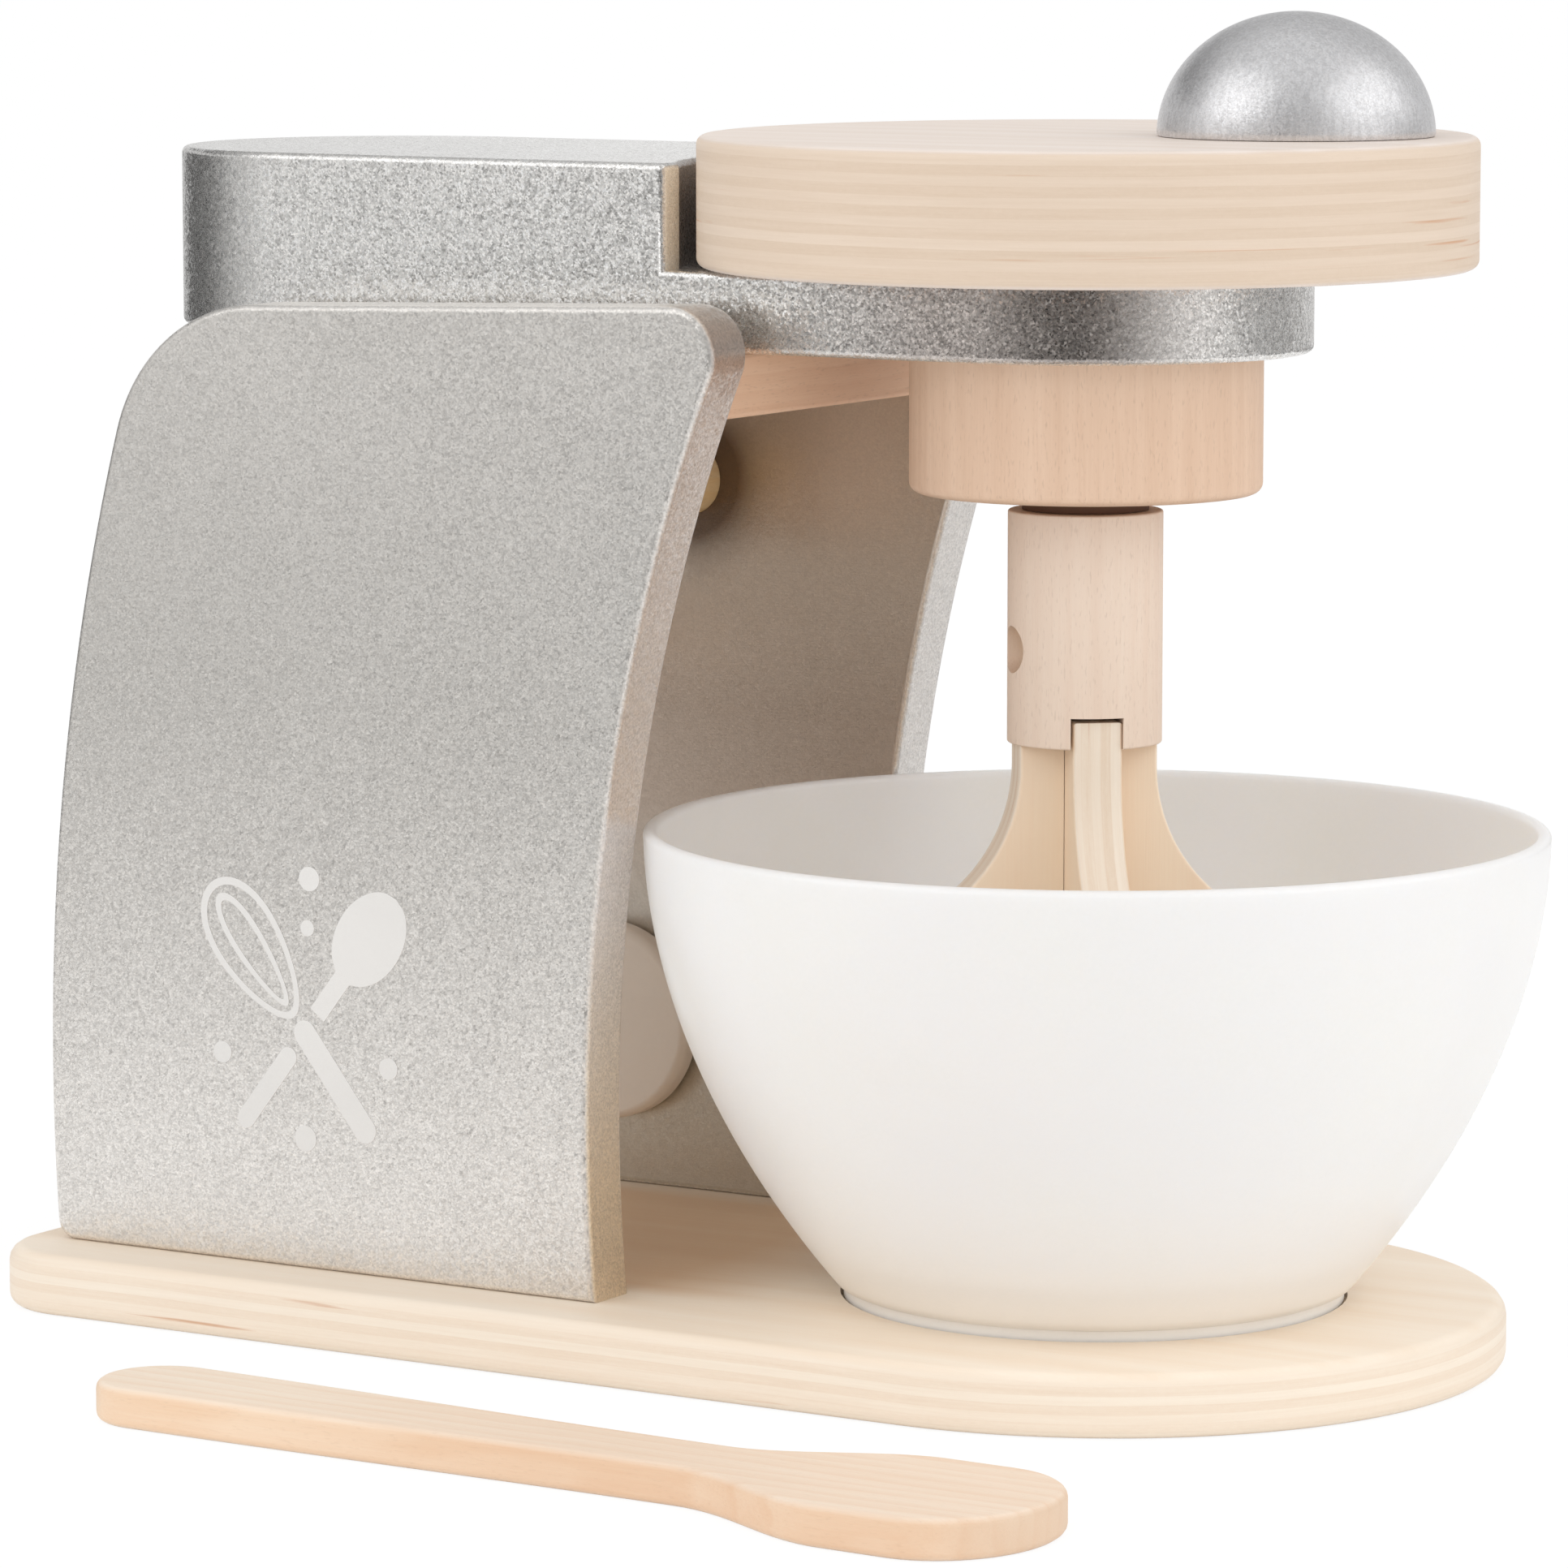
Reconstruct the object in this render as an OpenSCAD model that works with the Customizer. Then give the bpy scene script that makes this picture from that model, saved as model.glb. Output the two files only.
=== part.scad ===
// Wooden toy stand mixer: a tilting head with a hand-turned crank disc and a
// cross beater over a loose bowl, on a plywood base between two side panels,
// with the loose spatula that belongs to the set.
// Frame: the beater axis is the Z axis, +X points to the front of the mixer,
// +Y to the side with the speed knob, and z = 0 is the underside of the base.

/* [Base board] */
// Thickness of the base board
base_t = 9; // [7:0.5:14]
// How far the base board stands out beside each side panel
base_side = 12.5; // [6:0.5:20]
// How far the base board stands out behind the side panels
base_tail = 5.6; // [2:0.2:15]
// From the bowl centre to the front end of the base board
base_nose = 59; // [52:0.5:62]
// Corner radius at the rear of the base board
base_corner = 14; // [6:1:25]
// Depth of the round recess that locates the bowl
recess_depth = 1.5; // [0.5:0.25:3]

/* [Side panels] */
// Clear distance between the two side panels
panel_gap = 72; // [66:1:84]
// Thickness of a side panel
panel_t = 9.5; // [8.5:0.5:14]
// Height of a side panel at its front, above the base board
panel_h = 141.5; // [135:0.5:155]
// Depth of a side panel from front to back at its waist
panel_w = 94.3; // [88:0.1:110]
// Height of the waist above the table, where both edges stand upright
waist_z = 35; // [25:1:50]
// Radius of the hollow front edge
front_arc_r = 284; // [250:2:400]
// Radius of the crowned rear edge
rear_arc_r = 350; // [300:2:500]
// Slope of the top edge, in degrees
top_slope = 1.7; // [0:0.1:5]
// Radius of the large corner at the top rear
rear_top_r = 26; // [15:1:32]
// Radius of the corner at the top front
front_top_r = 7; // [3:0.5:12]
// Radius of the corner at the bottom rear
rear_foot_r = 3; // [1:0.5:8]

/* [Rail and dowels] */
// Height of the rail that the head rests on
rail_h = 9; // [8:0.5:14]
// Depth of the rail from front to back
rail_l = 20; // [16:1:26]
// Setback of the rail behind the front edge of the side panels
rail_setback = 0.4; // [0.2:0.1:3]
// Diameter of the small glue dowels
dowel_d = 5; // [4:0.5:6]
// Length of a glue dowel
dowel_l = 15; // [12:0.5:18]
// Depth of a base dowel in the base board
dowel_in_base = 5; // [4:0.5:6]
// Depth of a rail dowel in a side panel
dowel_in_panel = 5.5; // [4:0.5:7]
// Distance of the base dowels from the front and rear edge of a side panel
panel_dowel_inset = 13; // [9:0.5:20]
// Distance of the rail dowels from the front and rear face of the rail
rail_dowel_inset = 5; // [4:0.5:7]
// Diameter of the dowel that stops the tilted head
stop_d = 10; // [8:0.5:12]
// Distance of the stop from the pivot, along the underside of the head
stop_reach = 36; // [33:0.5:42]

/* [Head] */
// Gap between the head and each side panel
head_side_gap = 4; // [2:0.25:6]
// Length of the head from its rear end to its front end
head_l = 181; // [172:1:192]
// Height of the head at its rear
head_h = 26.3; // [22:0.1:34]
// How far the head sits down between the side panels
head_sink = 6.8; // [4:0.1:10]
// Thickness of the front plate under the crank disc
plate_t = 11.3; // [9:0.1:14]
// Distance of the step in the head behind the beater axis, beside the hollow end
head_step_x = 50.3; // [47:0.1:54]
// Gap between the crank disc and the hollow end of the head
notch_gap = 2.5; // [1:0.1:8]

/* [Pivot] */
// Distance of the head pivot behind the beater axis
pivot_back = 88.5; // [84:0.5:96]
// Depth of the head pivot below the underside of the head
pivot_drop = 24.9; // [20:0.1:30]
// Diameter of the pivot dowel
pivot_d = 11; // [8:0.5:13]
// Depth of the pivot dowel in each side panel
pivot_depth = 6; // [4:0.5:7]
// Width of the neck block that holds the pivot dowel
neck_w = 32; // [24:1:44]
// Length of the neck block ahead of the pivot
neck_front = 11.5; // [10:0.5:18]
// Length of the neck block behind the pivot
neck_rear = 19; // [12:0.5:22]
// Height of the neck block below the pivot axis
neck_foot = 10; // [9:0.5:16]
// Diameter of the two dowels between the neck block and the head
neck_dowel_d = 8; // [6:0.5:9]
// Length of those two dowels
neck_dowel_l = 20; // [16:1:22]
// How far those two dowels stand up into the head
neck_dowel_rise = 8; // [6:0.5:14]
// Distance of those two dowels from the front and rear face of the neck block
neck_dowel_inset = 6; // [5:0.5:8]
// How far the head tilts back, in degrees
tilt_max = 72; // [60:1:80]

/* [Collar] */
// Diameter of the collar under the head
collar_d = 50; // [44:1:56]
// Height of the collar
collar_h = 20; // [14:0.5:26]
// Rounding of the lower edge of the collar
collar_round = 1.5; // [0.5:0.25:3]

/* [Crank] */
// Diameter of the crank disc
disc_d = 110; // [100:1:120]
// Thickness of the crank disc
disc_t = 18.5; // [16:0.5:22]
// Rounding of the edges of the crank disc
disc_round = 1.2; // [0.5:0.1:2.5]
// Diameter of the half-ball knob on the crank disc
knob_d = 39; // [34:1:42]
// Height of the half-ball knob
knob_h = 17.4; // [14:0.2:21]
// Distance of the knob from the beater axis
knob_reach = 29.4; // [24:0.2:33]
// Where the knob stands round the beater axis, in degrees from the front
knob_turn = 20.4; // [-180:0.2:180]
// Diameter of the dowel between the crank disc and the knob
knob_dowel_d = 8; // [6:0.5:10]
// Length of the dowel between the crank disc and the knob
knob_dowel_l = 22; // [16:1:24]
// How far that dowel stands up into the knob
knob_dowel_rise = 10; // [7:0.5:12]
// Thickness of the washer under the crank disc
disc_washer_t = 0.4; // [0.3:0.1:1.5]
// Diameter of the washer under the crank disc
disc_washer_d = 30; // [20:1:40]

/* [Beater] */
// Diameter of the drive axle
axle_d = 12; // [9:0.5:13]
// Depth of the drive axle in the crank disc
axle_in_disc = 13.5; // [8:0.5:15]
// Depth of the drive axle in the beater shaft
axle_in_shaft = 24.6; // [23.6:0.1:26.1]
// Diameter of the beater shaft
shaft_d = 22; // [20:0.5:26]
// Length of the beater shaft
shaft_l = 33.1; // [31:0.1:42]
// Thickness of the washer between collar and beater shaft
shaft_washer_t = 2.4; // [0.6:0.1:3]
// Diameter of the washer between collar and beater shaft
shaft_washer_d = 18; // [15:0.5:19.5]
// Height of the pin that locks shaft and axle, above the lower end of the shaft
pin_height = 13.5; // [12:0.25:17]
// Diameter of the pin that locks shaft and axle
pin_d = 6.6; // [4:0.2:7]
// Length of the pin
pin_l = 15; // [13:0.5:19]
// Where the pin lies round the beater axis, in degrees from the front
pin_turn = 49; // [-180:1:180]
// Thickness of a beater blade
blade_t = 7; // [5:0.25:9]
// How far the first blade stands up into the shaft
blade_tenon = 3.8; // [2:0.1:6]
// Distance of the blade tips from the beater axis
blade_r = 32; // [26:0.5:36]
// Distance of the blade edges from the beater axis at the shaft
blade_neck = 9.9; // [8:0.1:10.3]
// Radius of the sweep between the neck and the tips of a blade
blade_sweep = 24; // [18:0.5:28]
// Drop of the sweep's start below the end of the shaft
blade_drop = 3.1; // [1:0.1:6]
// Height of the underside of the blades above the inside floor of the bowl
blade_floor_gap = 12; // [10:0.5:20]
// Radius of the lower corner of a blade
blade_corner = 12; // [6:0.5:16]
// Where the first blade stands round the beater axis, in degrees from the front
blade_turn = -50; // [-180:1:180]

/* [Bowl] */
// Radius of the bowl at its rim
bowl_r = 64.4; // [60:0.1:68]
// Height of the bowl
bowl_h = 68.6; // [60:0.1:74]
// Thickness of the bowl wall
bowl_wall = 2; // [1.5:0.1:3]
// Thickness of the bowl floor
bowl_floor = 3; // [2:0.1:5]
// Radius of the foot ring
foot_r = 35.8; // [30:0.1:38]
// Width of the foot ring
foot_w = 3.2; // [2:0.1:6]
// Height of the foot ring
foot_h = 3.4; // [2:0.1:5]
// Bevel of the foot ring's outer edge, so that the foot slips into its recess
foot_bevel = 1; // [0.3:0.1:1.8]
// Hollow under the bowl inside the foot ring
foot_hollow = 2; // [1:0.1:2.5]
// Distance of the bowl centre ahead of the beater axis
bowl_x = 2; // [0:0.1:4]
// Depth at which the curve of the bowl wall would close to a point
bowl_swell = 95.4; // [90:0.1:120]

/* [Speed knob] */
// Diameter of the speed knob on the outside of the left panel
speed_knob_d = 30; // [24:0.5:36]
// Height of the speed knob
speed_knob_h = 12; // [8:0.25:12]
// Diameter of the retaining disc on the inside of the left panel
retainer_d = 30.6; // [24:0.2:36]
// Thickness of the retaining disc
retainer_t = 4; // [3:0.25:6]
// Height of the speed knob axis above the table
speed_knob_z = 34.8; // [30:0.1:45]
// Distance of the speed knob axis behind the waist of the front edge
speed_knob_back = 46.7; // [40:0.1:54]
// Diameter of the spindle between knob and retaining disc
spindle_d = 8; // [6:0.5:10]
// Depth of the spindle in the speed knob
spindle_in_knob = 7; // [4:0.5:7.5]
// Depth of the spindle in the retaining disc
spindle_in_disc = 2; // [1:0.25:2]

/* [Spatula] */
// Length of the spatula
spatula_l = 150.3; // [130:0.1:170]
// Thickness of the spatula
spatula_t = 5.6; // [4:0.1:8]
// Width of the spatula's blade
spatula_blade_w = 33.6; // [28:0.2:42]
// Width of the handle at its end
handle_w = 18; // [15:0.2:24]
// Width of the handle at its narrowest place
handle_neck_w = 14.6; // [11:0.2:14.8]
// Length of the spatula's blade with its straight sides and round tip
spatula_blade_l = 24.5; // [24:0.5:45]
// Length of the round tip of the spatula's blade
spatula_tip_l = 14.5; // [8:0.5:20]
// Length of the flare between handle and blade
flare_l = 28.2; // [20:0.2:40]
// Clear distance from the base board to the axis of the spatula
spatula_off = 46.2; // [30:0.2:60]
// How far the spatula's tip lies behind the front end of the base board
spatula_setback = 6.3; // [0:0.1:30]
// Angle of the spatula to the base board, in degrees
spatula_angle = -1.5; // [-5:0.1:5]

/* [Fits] */
// Radial clearance of a turning fit
run_gap = 0.08; // [0.03:0.01:0.1]
// Radial clearance of a glued dowel in its hole
glue_gap = 0.05; // [0.02:0.01:0.1]
// Clearance at the end of a dowel in a blind hole
end_gap = 0.5; // [0.3:0.1:1]
// Free play of the crank along its axis
axle_play = 0.1; // [0.05:0.05:0.6]
// Radial clearance of the bowl's foot in its recess
foot_gap = 0.5; // [0.3:0.1:3]
// Clearance of the bowl's rim from the side panels
bowl_gap = 0.7; // [0.4:0.05:3]
// Clearance of the first blade on each side in the slot of the shaft
blade_gap = 0.25; // [0.05:0.05:0.5]
// Clearance of the two blades in each other's slots
lap_gap = 0.1; // [0.05:0.05:0.3]
// Clearance above a blade in the slot of the shaft
slot_gap = 0.7; // [0.3:0.1:1.2]
// Clearance of the turned discs from the left panel
disc_gap = 0.6; // [0.3:0.1:1.5]
// Clearance between the tilted head and its stop
stop_gap = 0.3; // [0.1:0.05:0.6]

/* [Screws] */
// Diameter of a panel screw's shank
screw_d = 3; // [2.5:0.1:3.5]
// Diameter of a panel screw's head
screw_head_d = 6.4; // [5.5:0.1:7.5]
// Height of a panel screw's countersunk head
screw_head_h = 2.4; // [1.8:0.1:3]
// Length of a panel screw
screw_l = 28; // [20:1:32]
// Distance of the panel screws from the front and rear edge of a side panel
panel_screw_inset = 29; // [22:0.5:36]
// Depth of a screw head below the surface round it
screw_inset = 0.4; // [0.2:0.1:1]
// Length of the retaining screw of the speed knob
retaining_screw_l = 12; // [9:0.5:14]
// Diameter of the retaining screw's head
retaining_head_d = 5; // [4:0.1:6]
// Height of the retaining screw's countersunk head
retaining_head_h = 0.8; // [0.6:0.1:1]

/* [Hidden] */
$fn = 96;

// Overshoot of a cutting solid past the face that it cuts
cut = 1;
// Fullness of the bowl's curve: how its depth and its radius run
bowl_depth_power = 1.9;
bowl_radius_power = 1.2;
// Steps of a long curve and of a corner in a flat outline
arc_steps = 18;
corner_steps = 10;

// Heights
head_z = base_t + panel_h - head_sink;
plate_z = head_z + plate_t;
disc_z = plate_z + disc_washer_t + axle_play;
disc_top = disc_z + disc_t;
collar_z = head_z - collar_h;
shaft_top = collar_z - shaft_washer_t - axle_play;
shaft_z = shaft_top - shaft_l;
pin_z = shaft_z + pin_height;
blade_top = shaft_z + blade_tenon;
bowl_z = base_t - recess_depth;
rim_z = bowl_z + bowl_h;
bowl_floor_z = bowl_z + foot_hollow + bowl_floor;
blade_z = bowl_floor_z + blade_floor_gap;
lap_z = (shaft_z + blade_z) / 2;
rail_z = head_z - rail_h;
pivot_z = head_z - pivot_drop;

// Places along the mixer
head_w = panel_gap - 2 * head_side_gap;
base_w = panel_gap + 2 * panel_t + 2 * base_side;
rim_reach = sqrt(pow(bowl_r, 2) - pow(panel_gap / 2, 2)) - bowl_x;
front_lean = arc_drop(front_arc_r, rim_z - waist_z);
front_waist_x = -(rim_reach + bowl_gap + front_lean);
rear_waist_x = front_waist_x - panel_w;
base_front = bowl_x + base_nose;
base_rear = rear_waist_x - base_tail;
base_nose_x = base_front - base_w / 2;
head_rear = head_w / 2 - head_l;
pivot_x = -pivot_back;
rail_front = front_edge_x(rail_z) - rail_setback;
speed_knob_x = front_waist_x - speed_knob_back;
neck_mid_x = pivot_x + (neck_front - neck_rear) / 2;
spatula_tip = base_front - spatula_setback;
spatula_y = -(base_w / 2 + spatula_off);

// Places across the mixer
panel_in = panel_gap / 2;
panel_mid = panel_in + panel_t / 2;
panel_out = panel_in + panel_t;

// The stop touches the underside of the head when that is tilted back
stop_off = pivot_drop - stop_d / 2 - stop_gap;
stop_x = pivot_x - stop_off * sin(tilt_max) - stop_reach * cos(tilt_max);
stop_z = pivot_z + stop_off * cos(tilt_max) - stop_reach * sin(tilt_max);

// Fasteners and dowels in plan, as distances from the ends of what they join
panel_dowel_xs = [rear_waist_x + panel_dowel_inset, front_waist_x - panel_dowel_inset];
panel_screw_xs = [rear_waist_x + panel_screw_inset, front_waist_x - panel_screw_inset];
rail_dowel_xs = [rail_front - rail_dowel_inset, rail_front - rail_l + rail_dowel_inset];
neck_dowel_xs = [pivot_x + neck_front - neck_dowel_inset, pivot_x - neck_rear + neck_dowel_inset];
collar_dowel_y = (collar_d + axle_d) / 4;
rail_dowel_z = rail_z + rail_h / 2;
panel_dowel_z = base_t - dowel_in_base;
neck_dowel_z = head_z + neck_dowel_rise - neck_dowel_l;
collar_dowel_z = head_z - dowel_l / 2;
knob_dowel_z = disc_top + knob_dowel_rise - knob_dowel_l;
retainer_y = panel_in - disc_gap - retainer_t;
speed_knob_y = panel_out + disc_gap;

// How far an arc of radius r has moved aside at distance d from its crest
function arc_drop(r, d) = r - sqrt(r * r - d * d);
// Front edge of a side panel at height z
function front_edge_x(z) = front_waist_x + arc_drop(front_arc_r, z - waist_z);
// Points of an arc about c from angle a to angle b
function arc(c, r, a, b, n) = [
    for (i = [0 : n]) let (t = a + (b - a) * i / n) c + r * [cos(t), sin(t)]
];
// Direction from p to q, from 0 to 360 degrees
function bearing(p, q) = let (t = atan2(q[1] - p[1], q[0] - p[0])) t < 0 ? t + 360 : t;
// Distance along the line from p in direction d to the circle about c, on the side chosen
function reach(p, d, c, r, side) =
    let (v = p - c, b = v * d, q = b * b - (v * v - r * r)) -b + side * sqrt(q);

// Centres of the two long edges of a side panel
front_arc_c = [front_waist_x + front_arc_r, waist_z];
rear_arc_c = [rear_waist_x + rear_arc_r, waist_z];
// A point on the top edge and the direction of that edge
top_point = [front_waist_x, base_t + panel_h];
top_dir = [cos(top_slope), sin(top_slope)];
top_normal = [-sin(top_slope), cos(top_slope)];

// Outline of a side panel: arcs that run into each other, in the XZ plane
function panel_outline() =
    let (
        p1 = top_point - front_top_r * top_normal,
        k1 = p1 + reach(p1, top_dir, front_arc_c, front_arc_r + front_top_r, -1) * top_dir,
        p2 = top_point - rear_top_r * top_normal,
        k2 = p2 + reach(p2, top_dir, rear_arc_c, rear_arc_r - rear_top_r, -1) * top_dir,
        p3 = [rear_waist_x, base_t + rear_foot_r],
        k3 = p3 + reach(p3, [1, 0], rear_arc_c, rear_arc_r - rear_foot_r, -1) * [1, 0],
        a0 = 180 + asin((waist_z - base_t) / front_arc_r),
        a1 = bearing(front_arc_c, k1),
        a2 = bearing(rear_arc_c, k2),
        a3 = bearing(rear_arc_c, k3)
    )
    concat(
        arc(front_arc_c, front_arc_r, a0, a1, arc_steps),
        arc(k1, front_top_r, a1 - 180, 90 + top_slope, corner_steps),
        arc(k2, rear_top_r, 90 + top_slope, a2, arc_steps),
        arc(rear_arc_c, rear_arc_r, a2, a3, arc_steps),
        arc(k3, rear_foot_r, a3, 270, corner_steps)
    );

// Radius of the bowl's outer face at height z
function bowl_radius(z) =
    bowl_r * pow(1 - pow((rim_z - z) / bowl_swell, bowl_depth_power), 1 / bowl_radius_power);

// Half width of the spatula at distance s from the end of its handle
function smooth(t) = t * t * (3 - 2 * t);
function spatula_half(s) =
    let (
        he = handle_w / 2,
        hn = handle_neck_w / 2,
        hb = spatula_blade_w / 2,
        s1 = spatula_l - spatula_blade_l - flare_l,
        s2 = spatula_l - spatula_blade_l,
        s3 = spatula_l - spatula_tip_l
    )
    s < he ? sqrt(max(0, he * he - pow(he - s, 2)))
    : s < s1 ? he + (hn - he) * smooth((s - he) / (s1 - he))
    : s < s2 ? hn + (hb - hn) * smooth((s - s1) / flare_l)
    : s < s3 ? hb
    : hb * sqrt(max(0, 1 - pow((s - s3) / spatula_tip_l, 2)));

// A round rod of diameter d and length l along Y, starting at y
module rod_y(d, y, l) {
    translate([0, y, 0]) rotate([-90, 0, 0]) cylinder(d = d, h = l);
}

// A flat outline in the XZ plane as a plate from y to y + t
module plate_y(points, y, t) {
    translate([0, y + t, 0]) rotate([90, 0, 0]) linear_extrude(height = t) polygon(points);
}

// A countersunk screw that points along +Z, with the top of its head at z = 0
module screw(l, d, head_d, head_h) {
    difference() {
        union() {
            cylinder(d1 = head_d, d2 = d, h = head_h);
            translate([0, 0, head_h / 2]) cylinder(d = d, h = l - d - head_h / 2);
            translate([0, 0, l - d]) cylinder(d1 = d, d2 = d / 4, h = d);
        }
        for (a = [0, 90])
            rotate(a) translate([-head_d / 3, -d / 8, -cut])
                cube([head_d * 2 / 3, d / 4, cut + head_h / 2]);
    }
}

// The hole for that screw, open at z = 0 and inset by screw_inset
module screw_hole(l, d, head_d, head_h) {
    translate([0, 0, -cut]) cylinder(d = head_d + 2 * end_gap, h = cut + screw_inset);
    translate([0, 0, screw_inset]) {
        cylinder(d1 = head_d + 2 * glue_gap, d2 = d + 2 * glue_gap, h = head_h);
        cylinder(d = d + 2 * glue_gap, h = l + end_gap);
    }
}

module at_panel_screws() {
    for (x = panel_screw_xs, y = [-panel_mid, panel_mid]) translate([x, y, 0]) children();
}

module at_panel_dowels() {
    for (x = panel_dowel_xs, y = [-panel_mid, panel_mid]) translate([x, y, 0]) children();
}

module base_board() {
    color([0.90, 0.80, 0.64])
    difference() {
        union() {
            translate([base_nose_x, 0, 0]) cylinder(d = base_w, h = base_t, $fn = 160);
            translate([base_rear + base_corner, -base_w / 2, 0])
                cube([base_nose_x - base_rear - base_corner, base_w, base_t]);
            translate([base_rear, base_corner - base_w / 2, 0])
                cube([base_corner + cut, base_w - 2 * base_corner, base_t]);
            for (s = [-1, 1])
                translate([base_rear + base_corner, s * (base_w / 2 - base_corner), 0])
                    cylinder(r = base_corner, h = base_t);
        }
        translate([bowl_x, 0, bowl_z]) cylinder(r = foot_r + foot_gap, h = recess_depth + cut);
        at_panel_screws() screw_hole(screw_l, screw_d, screw_head_d, screw_head_h);
        at_panel_dowels() translate([0, 0, panel_dowel_z - end_gap])
            cylinder(d = dowel_d + 2 * glue_gap, h = base_t);
    }
}

// A side panel on the +Y side, with its blind holes opening inwards and downwards
module side_panel() {
    difference() {
        plate_y(panel_outline(), panel_in, panel_t);
        translate([pivot_x, 0, pivot_z])
            rod_y(pivot_d + 2 * run_gap, panel_in - cut, cut + pivot_depth + end_gap);
        translate([stop_x, 0, stop_z])
            rod_y(stop_d + 2 * glue_gap, panel_in - cut, cut + pivot_depth + end_gap);
        for (x = rail_dowel_xs)
            translate([x, 0, rail_dowel_z])
                rod_y(dowel_d + 2 * glue_gap, panel_in - cut, cut + dowel_in_panel + end_gap);
        for (x = panel_screw_xs)
            translate([x, panel_mid, base_t - cut])
                cylinder(d = screw_d + 2 * glue_gap, h = screw_l + screw_inset + end_gap - base_t + cut);
        for (x = panel_dowel_xs)
            translate([x, panel_mid, base_t - cut])
                cylinder(d = dowel_d + 2 * glue_gap,
                         h = panel_dowel_z + dowel_l + end_gap - base_t + cut);
    }
}

module right_side_panel() {
    color([0.72, 0.72, 0.71]) mirror([0, 1, 0]) side_panel();
}

module left_side_panel() {
    color([0.72, 0.72, 0.71])
    difference() {
        side_panel();
        translate([speed_knob_x, 0, speed_knob_z])
            rod_y(spindle_d + 2 * run_gap, panel_in - cut, panel_t + 2 * cut);
    }
}

module head_rest_rail() {
    color([0.88, 0.72, 0.54])
    difference() {
        translate([rail_front - rail_l, -panel_in, rail_z]) cube([rail_l, panel_gap, rail_h]);
        for (x = rail_dowel_xs, s = [0, 1])
            mirror([0, s, 0]) translate([x, 0, rail_dowel_z])
                rod_y(dowel_d + 2 * glue_gap, panel_in + dowel_in_panel - dowel_l - end_gap, dowel_l);
    }
}

module rail_dowels() {
    color([0.85, 0.70, 0.52])
    for (x = rail_dowel_xs, s = [0, 1])
        mirror([0, s, 0]) translate([x, 0, rail_dowel_z])
            rod_y(dowel_d, panel_in + dowel_in_panel - dowel_l, dowel_l);
}

module panel_dowels() {
    color([0.85, 0.70, 0.52])
    at_panel_dowels() translate([0, 0, panel_dowel_z]) cylinder(d = dowel_d, h = dowel_l);
}

module panel_screws() {
    color([0.75, 0.74, 0.70])
    at_panel_screws() translate([0, 0, screw_inset]) screw(screw_l, screw_d, screw_head_d, screw_head_h);
}

module tilt_stop_dowel() {
    color([0.85, 0.70, 0.52])
    translate([stop_x, 0, stop_z]) rod_y(stop_d, -panel_in - pivot_depth, panel_gap + 2 * pivot_depth);
}

module head() {
    color([0.74, 0.74, 0.73])
    difference() {
        union() {
            cylinder(d = head_w, h = plate_t, $fn = 128);
            translate([head_rear + head_w / 2, 0, 0]) cylinder(d = head_w, h = head_h, $fn = 128);
            translate([head_rear + head_w / 2, -head_w / 2, 0])
                cube([head_l - head_w, head_w, head_h]);
        }
        translate([-head_step_x, -head_w, plate_t]) cube([head_l, 2 * head_w, head_h]);
        translate([0, 0, plate_t]) cylinder(d = disc_d + 2 * notch_gap, h = head_h, $fn = 160);
        translate([0, 0, -cut]) cylinder(d = axle_d + 2 * run_gap, h = plate_t + 2 * cut);
        for (x = neck_dowel_xs)
            translate([x, 0, neck_dowel_z - head_z])
                cylinder(d = neck_dowel_d + 2 * glue_gap, h = neck_dowel_l + end_gap);
        for (s = [-1, 1])
            translate([0, s * collar_dowel_y, collar_dowel_z - head_z])
                cylinder(d = dowel_d + 2 * glue_gap, h = dowel_l + end_gap);
    }
}

module neck_block() {
    color([0.86, 0.71, 0.53])
    difference() {
        translate([pivot_x - neck_rear, -neck_w / 2, pivot_z - neck_foot])
            cube([neck_front + neck_rear, neck_w, pivot_drop + neck_foot]);
        translate([pivot_x, 0, pivot_z])
            rod_y(pivot_d + 2 * glue_gap, -neck_w / 2 - cut, neck_w + 2 * cut);
        for (x = neck_dowel_xs)
            translate([x, 0, neck_dowel_z - end_gap])
                cylinder(d = neck_dowel_d + 2 * glue_gap, h = neck_dowel_l);
    }
}

module pivot_dowel() {
    color([0.90, 0.74, 0.45])
    translate([pivot_x, 0, pivot_z])
        rod_y(pivot_d, -panel_in - pivot_depth, panel_gap + 2 * pivot_depth);
}

module neck_dowels() {
    color([0.85, 0.70, 0.52])
    for (x = neck_dowel_xs)
        translate([x, 0, neck_dowel_z]) cylinder(d = neck_dowel_d, h = neck_dowel_l);
}

module collar() {
    color([0.87, 0.70, 0.57])
    difference() {
        translate([0, 0, collar_z])
        rotate_extrude($fn = 128)
            polygon(concat(
                [[axle_d / 2 + run_gap, 0]],
                arc([collar_d / 2 - collar_round, collar_round], collar_round, 270, 360, 6),
                [[collar_d / 2, collar_h], [axle_d / 2 + run_gap, collar_h]]
            ));
        for (s = [-1, 1])
            translate([0, s * collar_dowel_y, collar_dowel_z - end_gap])
                cylinder(d = dowel_d + 2 * glue_gap, h = dowel_l);
    }
}

module collar_dowels() {
    color([0.85, 0.70, 0.52])
    for (s = [-1, 1])
        translate([0, s * collar_dowel_y, collar_dowel_z]) cylinder(d = dowel_d, h = dowel_l);
}

// A flat ring round the drive axle
module washer(d, t) {
    difference() {
        cylinder(d = d, h = t);
        translate([0, 0, -cut]) cylinder(d = axle_d + 2 * end_gap, h = t + 2 * cut);
    }
}

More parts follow.
